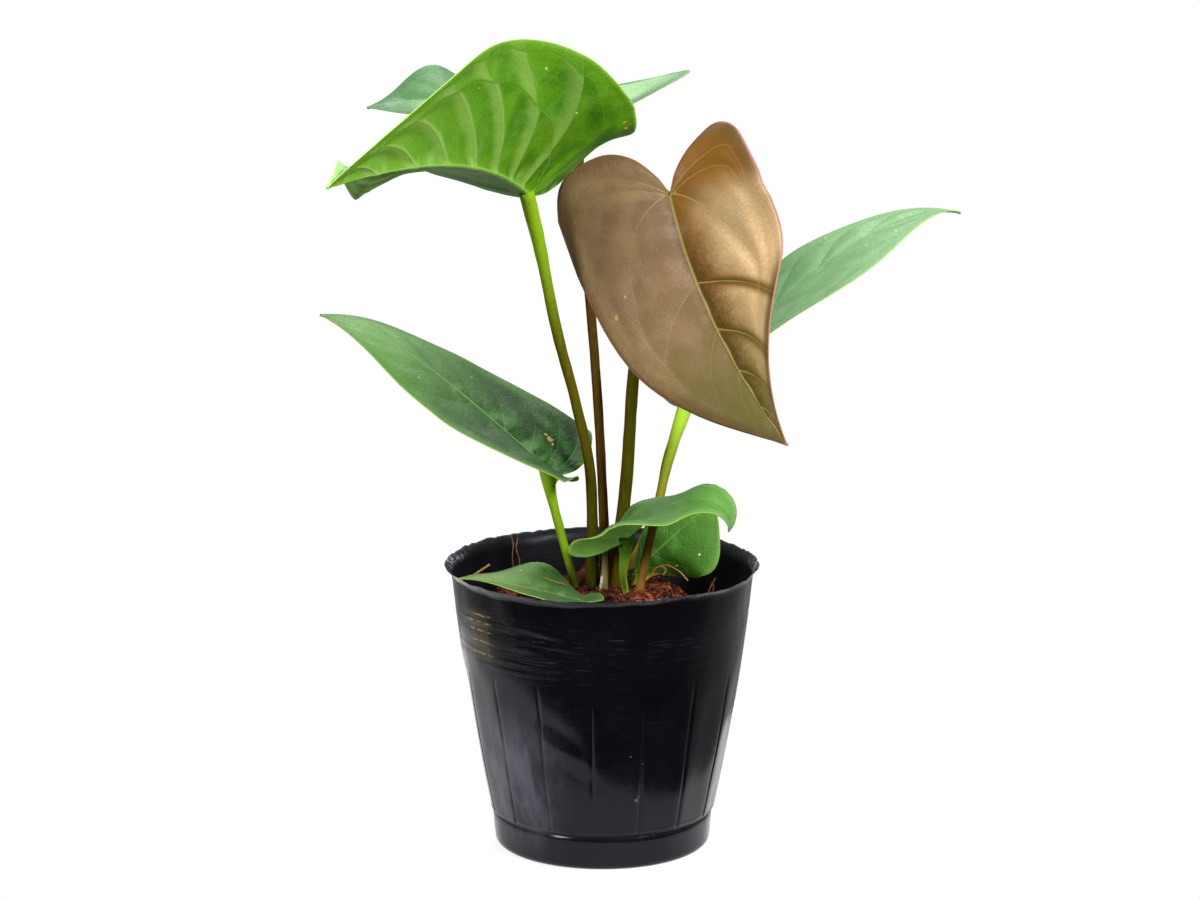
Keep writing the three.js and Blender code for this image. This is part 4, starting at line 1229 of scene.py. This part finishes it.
def pot_piece():
    outside = pot_grid()
    flat = outside * (1, 1, 0)
    inside = (outside - unit(flat) * FILM)[::-1]
    inside = inside[inside[:, :, 2].mean(1) > 3]
    inside = inside[[*range(0, len(inside) - 1, INSIDE_ROW_STEP), -1]]
    inside[0, :, 2] -= 0.3
    angles = np.arctan2(outside[0, :, 1], outside[0, :, 0])
    top = [turned(r, angles, FILM) for r in (FOOT_RADIUS, *FLOOR_RADII)]
    below = [turned(r, angles, 0.0) for r in reversed(FLOOR_RADII)]
    rows = [*outside, *inside, *top, *below]
    points = np.vstack(rows)
    faces = []
    half_turn = np.pi / DRAIN_HOLES
    from_hole = np.abs((angles + half_turn) % (2 * half_turn) - half_turn) * DRAIN_CIRCLE
    open_columns = set(np.flatnonzero(from_hole < DRAIN_RADIUS).tolist())
    top_slot = len(outside) + len(inside) + 1
    below_slot = len(rows) - 2
    for row in range(len(rows)):
        first, second = row * POT_COLUMNS, (row + 1) % len(rows) * POT_COLUMNS
        quads = ring_faces(first, second, POT_COLUMNS)
        if row in (top_slot, below_slot):
            quads = [quad for i, quad in enumerate(quads) if i not in open_columns]
        faces += quads
    around = np.degrees(np.arctan2(points[:, 1], points[:, 0]))
    within = np.arange(len(points)) >= len(outside) * POT_COLUMNS
    fields = {"height": points[:, 2], "angle": around, "inside": within}
    piece = make_mesh("nursery_pot_film", points, faces, fields)
    dress(piece, [film_material()], "pot_film", "nursery_pot")


# Where the film holds dust and a painted reflection, where its lip glints, and the heights between which it
# is scratched
DUST_AND_REFLECTION_ANGLES = (-166, -114)
DUST_AND_REFLECTION_HEIGHTS = (14, 58)
GLINT_ANGLES = ((-22, 8), (160, 176))
SCRATCHED_HEIGHTS = (80, 104)
# Where the film is worn translucent, and the heights of the yellow scratches across it
WORN_ANGLES = (-152, -140)
WORN_HEIGHTS = (84, 103)
WORN_STREAKS = (102, 99, 95.5, 91, 86)
# Crumbs of coir stuck to the film, as angle, height and radius
CRUMBS = ((-72, 45.5, 0.8), (-74.2, 29.6, 1.2), (-77.5, 49, 0.45), (-73, 31.4, 0.4))


def worn_band(n, colour, height, angle):
    """A dull strip high on the left with broken yellow scratches across it."""
    band = n.times(n.within(angle, *WORN_ANGLES, 1.2), n.within(height, *WORN_HEIGHTS, 3))
    colour = n.mix(n.times(band, 0.35), colour, srgb(78, 72, 40))
    waver = n.add_times(n.noise(n.place((240, 240, 60)), 1.0, 2), 1.4, height)
    broken = n.remap(n.noise(n.place((500, 500, 300)), 1.0, 2), 0.4, 0.55)
    reach = n.within(angle, WORN_ANGLES[0] - 2, WORN_ANGLES[1] + 1, 2.5)
    for level in WORN_STREAKS:
        line = n.fade(n.absolute(n.math("SUBTRACT", waver, level + 0.7)), 0.15, 0.5)
        colour = n.mix(n.times(line, broken, reach, 0.85), colour, srgb(132, 112, 40))
    return colour


def crumbed(n, colour, height, angle):
    for turn, level, size in CRUMBS:
        over = n.times(n.math("SUBTRACT", angle, turn), math.radians(wall_radius(level)))
        off = n.distance(over, n.math("SUBTRACT", height, level))
        near = n.add_times(n.noise(n.place((900, 900, 900)), 1.0, 3), 3.2 * size, off)
        colour = n.mix(n.fade(near, 1.9 * size, 2.3 * size), colour, srgb(106, 74, 50))
    return colour


def film_material():
    """Thin glossy black film: dust and painted reflection low on the left, a scuffed lip and a worn band."""
    n = Nodes(bpy.data.materials.new("pot_film_black"))
    place = n.place()
    broad = n.noise(place, 45.0, 4, 0.6)
    fine = n.noise(place, 420.0, 5, 0.6)
    scratch = n.noise(n.place((70, 70, 2300)), 1.0, 3, 0.55)
    height = n.attribute("height")
    angle = n.attribute("angle")
    colour = n.mix(n.remap(broad, 0.35, 0.7), srgb(8, 8, 11), srgb(12, 11, 15))
    dust = n.times(n.remap(fine, 0.58, 0.72), n.remap(broad, 0.5, 0.7))
    colour = n.mix(n.times(dust, 0.12), colour, srgb(60, 58, 56))
    # Low on the left a bluish haze, partly dust and partly painted reflection.
    dust_and_reflection = n.times(n.within(angle, *DUST_AND_REFLECTION_ANGLES, 12), n.within(height, *DUST_AND_REFLECTION_HEIGHTS, 16))
    haze = n.remap(n.noise(n.place((90, 90, 34)), 1.0, 5, 0.65), 0.35, 0.68, 0.1, 1.0)
    colour = n.mix(n.times(dust_and_reflection, haze, 0.4), colour, srgb(104, 104, 118))
    colour = worn_band(n, colour, height, angle)
    lip_scuff = n.times(n.remap(height, 112.2, 114.2), n.remap(fine, 0.48, 0.62))
    colour = n.mix(n.times(lip_scuff, n.remap(broad, 0.42, 0.6, 0.05, 0.45)), colour, srgb(80, 82, 90))
    ends = n.most(*(n.within(angle, *angles, 8) for angles in GLINT_ANGLES))
    glint = n.times(n.remap(height, 110.5, 112.5), n.remap(fine, 0.45, 0.6), ends)
    colour = n.mix(n.times(glint, 0.85), colour, srgb(150, 158, 172))
    high = n.within(height, *SCRATCHED_HEIGHTS, 6)
    marked = n.remap(high, 0.0, 1.0, 0.25, 1.0)
    marks = n.times(n.remap(scratch, 0.6, 0.72), n.remap(broad, 0.44, 0.6), marked)
    colour = n.mix(n.times(marks, 0.25), colour, srgb(84, 84, 92))
    colour = crumbed(n, colour, height, angle)
    roughness = n.remap(fine, 0.3, 0.7, 0.12, 0.22)
    for duller, amount in ((lip_scuff, 0.25), (n.attribute("inside"), 0.3)):
        roughness = n.math("ADD", roughness, n.times(duller, amount))
    relief = n.math("ADD", n.times(fine, 0.3), n.times(scratch, n.remap(high, 0.0, 1.0, 0.6, 2.6)))
    return n.finish(
        Base_Color=colour, Roughness=roughness, Specular_IOR_Level=0.21, Specular_Tint=(0.84, 0.86, 1.0),
        Normal=n.bump(relief, 0.00015, 0.3),
    )


# Coir, loose bits and the crown

COIR_ROWS = 90
COIR_COLUMNS = 200
COIR_MOUND = 5
COIR_EDGE_LEVEL = 88.0
# Lumps in the top of the coir: height, size and seed
LUMPS = ((1.1, 6, 21), (0.8, 2.6, 22), (0.4, 1.2, 23))
CHIPS = 1500
CHIP_SIZE = 0.7
FIBRES = 520
FIBRE_STEPS = 5
FIBRE_RINGS = 8
FIBRE_SIDES = 4
# Room kept from the wall by chips and by fibres, these at a level of their own
SCATTER_ROOM = 3
FIBRE_ROOM = 2
FIBRE_LEVEL = 90
STRAND_RINGS = 14
STRAND_SIDES = 6
# The underside and the waist of the coir, and its gap to the film at its edge
COIR_FOOT = 1.6
COIR_WAIST = 46
COIR_GAP = 1.6

# Loose strands: radius, tint (up to 1 coir, 2 straw, 3 white) and points
LOOSE_STRANDS = (
    (0.15, 1.9, ((-37.5, 46, 115.2), (-36.6, 45.4, 110.7), (-37, 44.2, 106), (-36.2, 43, 99.6))),
    (0.13, 1.9, ((-34.7, 47.4, 113.6), (-35.4, 46, 109.1), (-34, 45.6, 104.1), (-34.6, 44, 98.6))),
    (0.42, 2, ((-51.4, -9, 111.6), (-48, -9.4, 114.0), (-44.8, -9.8, 116.2))),
    (0.3, 1.8, (
        (19.6, -8, 111.4), (21, -8, 114.2), (23.4, -8, 115), (25.2, -7.8, 113.6), (24.2, -8, 111.6),
    )),
    (0.28, 2, ((20.6, -6.6, 113.2), (25, -6.4, 115.2), (30.4, -6, 112.6), (34, -5.6, 108.6))),
    (0.5, 3, ((-0.8, -4.6, 104.6), (-0.5, -4.7, 107.4), (-0.2, -4.6, 110.2))),
    (0.26, 1.9, ((-23.4, -17.6, 113), (-20.6, -17, 111.6), (-18.3, -16.6, 110.7), (-14.2, -13.4, 108.7))),
    (0.25, 0.7, ((42, 8, 98), (43.2, 8.2, 102), (45.4, 8.6, 106.2))),
    (0.4, 0.6, ((43.4, 9, 98), (44.6, 9, 101.6), (44, 9.4, 104.4))),
)


def loose_strand(radius, tint, path):
    rings = np.full(STRAND_RINGS, radius)
    points, faces, _, _ = tube(curve_points(path, STRAND_RINGS), rings, STRAND_SIDES, waver=0.08, seed=9)
    return points, faces, np.full(len(points), float(tint))


def coir_height(x, y):
    """Height of the coir without lumps. It falls to the wall, dips on the right and rises at the back."""
    out = np.hypot(x, y) / RIM_RADIUS
    dip = ease((x - 22) / 22) * ease((y + 30) / 40)
    mound = COIR_MOUND * np.exp(-((x + 4) / 9) ** 2 - ((y - 25) / 11) ** 2)
    return COIR_TOP - COIR_FALL * out ** 2 - COIR_DIP * dip + mound


def coir_surface(x, y):
    """Height of the lumpy top of the coir."""
    return coir_height(x, y) + layered_noise(np.stack([x, y, np.zeros_like(x)], -1), LUMPS)


def coir_level(x, y):
    """Height of the lumpy top at one place."""
    return float(coir_surface(np.array([x]), np.array([y]))[0])


def coir_piece():
    angles = 2 * np.pi * np.arange(COIR_COLUMNS) / COIR_COLUMNS
    foot = ((1, COIR_FOOT), (FOOT_RADIUS - 1, COIR_FOOT))
    sides = ((SKIRT_RADIUS - 2.6, SKIRT_HEIGHT), (wall_radius(COIR_WAIST) - 2, COIR_WAIST))
    rows = [turned(r, angles, z) for r, z in foot + sides]
    for r in np.linspace(wall_radius(COIR_EDGE_LEVEL) - COIR_GAP, 0.4, COIR_ROWS):
        rows.append(turned(r, angles, coir_surface(r * np.cos(angles), r * np.sin(angles))))
    faces = [face for row in range(len(rows) - 1)
             for face in ring_faces(row * COIR_COLUMNS, (row + 1) * COIR_COLUMNS, COIR_COLUMNS)]
    last = (len(rows) - 1) * COIR_COLUMNS
    faces.append(list(range(COIR_COLUMNS))[::-1])
    faces.append([last + i for i in range(COIR_COLUMNS)])
    points = np.vstack(rows)
    parts = [(points, faces, np.full(len(points), 0.5))]
    parts += chips(np.random.default_rng(5))
    parts += fibres(np.random.default_rng(6))
    parts += [loose_strand(*strand) for strand in LOOSE_STRANDS]
    piece = join_parts("coir_chips", parts)
    dress(piece, [coir_material()], "coir", "coir")


def join_parts(name, parts):
    """One mesh from several lots of points and faces, each with its own tint."""
    points, faces, tints = [], [], []
    count = 0
    for lot, lot_faces, tint in parts:
        points.append(lot)
        faces += [[count + corner for corner in face] for face in lot_faces]
        tints.append(tint)
        count += len(lot)
    return make_mesh(name, np.vstack(points), faces, {"tint": np.concatenate(tints)}, smooth=False)


def scatter(random):
    """A place on the coir."""
    r = math.sqrt(random.uniform(0, 1)) * (wall_radius(COIR_EDGE_LEVEL) - SCATTER_ROOM)
    angle = random.uniform(0, 2 * np.pi)
    return r * math.cos(angle), r * math.sin(angle)


def random_axes(random):
    first = unit(random.normal(size=3))
    second = unit(np.cross(first, random.normal(size=3)))
    return first, second, np.cross(first, second)


def chips(random):
    """Small broken blocks that lie in the top of the coir."""
    corners = np.array([(x, y, z) for z in (-1, 1) for y in (-1, 1) for x in (-1, 1)], float)
    faces = [[0, 2, 3, 1], [4, 5, 7, 6], [0, 1, 5, 4], [2, 6, 7, 3], [0, 4, 6, 2], [1, 3, 7, 5]]
    parts = []
    for _ in range(CHIPS):
        x, y = scatter(random)
        longest = random.uniform(0.5, 2.4)
        size = longest * np.array([1, random.uniform(0.4, 0.9), random.uniform(0.2, 0.6)]) * CHIP_SIZE
        axes = np.array(random_axes(random))
        z = coir_level(x, y) + random.uniform(-0.5, 0.4)
        lot = (corners * size * random.uniform(0.7, 1.15, (8, 3))) @ axes + (x, y, z)
        parts.append((lot, faces, np.full(8, random.uniform(0, 1))))
    return parts


def fibres(random):
    """Thin bent threads of coir."""
    parts = []
    for _ in range(FIBRES):
        x, y = scatter(random)
        heading = random.uniform(0, 2 * np.pi)
        length = random.uniform(2.5, 10)
        step = length / FIBRE_STEPS
        path = []
        for _ in range(FIBRE_STEPS + 1):
            path.append((x, y, coir_level(x, y) + random.uniform(0.1, 1.3)))
            heading += random.uniform(-0.5, 0.5)
            x += step * math.cos(heading)
            y += step * math.sin(heading)
        path = np.array(path)
        if np.hypot(path[:, 0], path[:, 1]).max() > wall_radius(FIBRE_LEVEL) - FIBRE_ROOM:
            continue
        radius = random.uniform(0.09, 0.24)
        radii = np.full(FIBRE_RINGS, radius)
        points, faces, _, _ = tube(curve_points(path, FIBRE_RINGS), radii, FIBRE_SIDES)
        parts.append((points, faces, np.full(len(points), random.uniform(0.4, 1))))
    return parts


def coir_material():
    n = Nodes(bpy.data.materials.new("coir_fibre"))
    tint = n.attribute("tint")
    place = n.place()
    speckle = n.noise(place, 700.0, 5, 0.65)
    lumps = n.noise(place, 180.0, 4, 0.6)
    colour = n.mix(n.remap(lumps, 0.35, 0.65), srgb(24, 9, 4), srgb(84, 36, 17))
    for step, stain in ((1.0, (150, 80, 42)), (2.0, (150, 112, 66)), (3.0, (226, 224, 200))):
        colour = n.mix(n.remap(tint, step - 0.5, step, smooth=False), colour, srgb(*stain))
    colour = n.mix(n.remap(speckle, 0.5, 0.7, 0.0, 0.7), colour, srgb(22, 9, 5))
    relief = n.bump(speckle, 0.0008, 0.8)
    return n.finish(Base_Color=colour, Roughness=0.9, Specular_IOR_Level=0.15, Normal=relief)


def crown_material():
    n = Nodes(bpy.data.materials.new("crown_bark"))
    grain = n.noise(n.place((500, 500, 120)), 1.0, 4, 0.6)
    colour = n.mix(n.remap(grain, 0.35, 0.65), srgb(92, 62, 34), srgb(140, 108, 62))
    return n.finish(Base_Color=colour, Roughness=0.8, Normal=n.bump(grain, 0.001, 0.6))


# Floor, lights and camera, in metres and watts

FLOOR_RADIUS = 0.19
FLOOR_SIDES = 96
FLOOR_CENTRE = (-0.075, 0.07, -0.0002)
CAMERA_PLACE = (-0.001, -1.551, 0.4988)
CAMERA_PITCH = 77.7
CAMERA_LENS = 120
CAMERA_SENSOR = 36
CAMERA_CLIP = (0.05, 60)
LIGHT_AIM = (0, 0, 0.15)
# Each light's place, size and power
LIGHTS = {
    "key_right": ((0.85, -0.85, 0.95), (0.4, 0.4), 30),
    "fill_left": ((-0.95, -0.95, 0.65), (0.3, 0.6), 16),
    "back": ((0.1, 1.0, 1.1), (0.9, 0.5), 8),
}
# The studio's glow, and its glow low in front
STUDIO_GLOW = 0.4
DIM_GLOW = 0.02
WHITE = (1.0, 1.0, 1.0)


def floor():
    bpy.ops.mesh.primitive_circle_add(
        vertices=FLOOR_SIDES, radius=FLOOR_RADIUS, fill_type="NGON", location=FLOOR_CENTRE,
    )
    disc = bpy.context.object
    disc.name = "floor"
    n = Nodes(bpy.data.materials.new("floor_white"))
    disc.data.materials.append(n.finish(
        Base_Color=(0.45, 0.45, 0.45), Roughness=0.9, Specular_IOR_Level=0.0,
        Emission_Color=WHITE, Emission_Strength=0.7,
    ))


def world():
    """A white studio, dark low on the camera's side as a dim room is."""
    studio = bpy.data.worlds.new("studio")
    bpy.context.scene.world = studio
    n = Nodes(studio, "Background")
    split = n.add("ShaderNodeSeparateXYZ", Vector=n.add("ShaderNodeTexCoord").outputs["Generated"])
    front = n.remap(split.outputs["Y"], 0.35, -0.4)
    low = n.remap(split.outputs["Z"], 0.4, -0.05)
    glow = n.remap(n.times(front, low), 0.0, 1.0, STUDIO_GLOW, DIM_GLOW, smooth=False)
    seen = n.add("ShaderNodeLightPath").outputs["Is Camera Ray"]
    n.finish(Color=WHITE, Strength=n.most(glow, seen))


def soft_box(name, place, size, power):
    """A rectangular light that faces the plant."""
    light = bpy.data.lights.new(name, "AREA")
    light.shape = "RECTANGLE"
    light.size, light.size_y = size
    light.energy = power
    lamp = bpy.data.objects.new(name, light)
    bpy.context.scene.collection.objects.link(lamp)
    lamp.location = place
    aim = np.array(LIGHT_AIM) - np.array(place)
    flat = math.hypot(aim[0], aim[1])
    lamp.rotation_euler = (math.atan2(flat, -aim[2]), 0, math.atan2(aim[1], aim[0]) - math.pi / 2)


def camera():
    view = bpy.data.cameras.new("camera")
    view.lens = CAMERA_LENS
    view.sensor_width = CAMERA_SENSOR
    view.clip_start, view.clip_end = CAMERA_CLIP
    seat = bpy.data.objects.new("camera", view)
    bpy.context.scene.collection.objects.link(seat)
    seat.location = CAMERA_PLACE
    seat.rotation_euler = (math.radians(CAMERA_PITCH), 0, 0)
    bpy.context.scene.camera = seat
    bpy.context.scene.view_settings.view_transform = "Standard"


def carried_nodes():
    """The crown keeps its modelled shape and gets a bark material."""
    crown = frame["nodes"]["stem_base"]
    crown.data.materials.clear()
    crown.data.materials.append(crown_material())


leaf_pieces()
stalk_pieces()
shoot_piece()
pot_piece()
coir_piece()
carried_nodes()
floor()
world()
for lamp_name, setting in LIGHTS.items():
    soft_box(lamp_name, *setting)
camera()
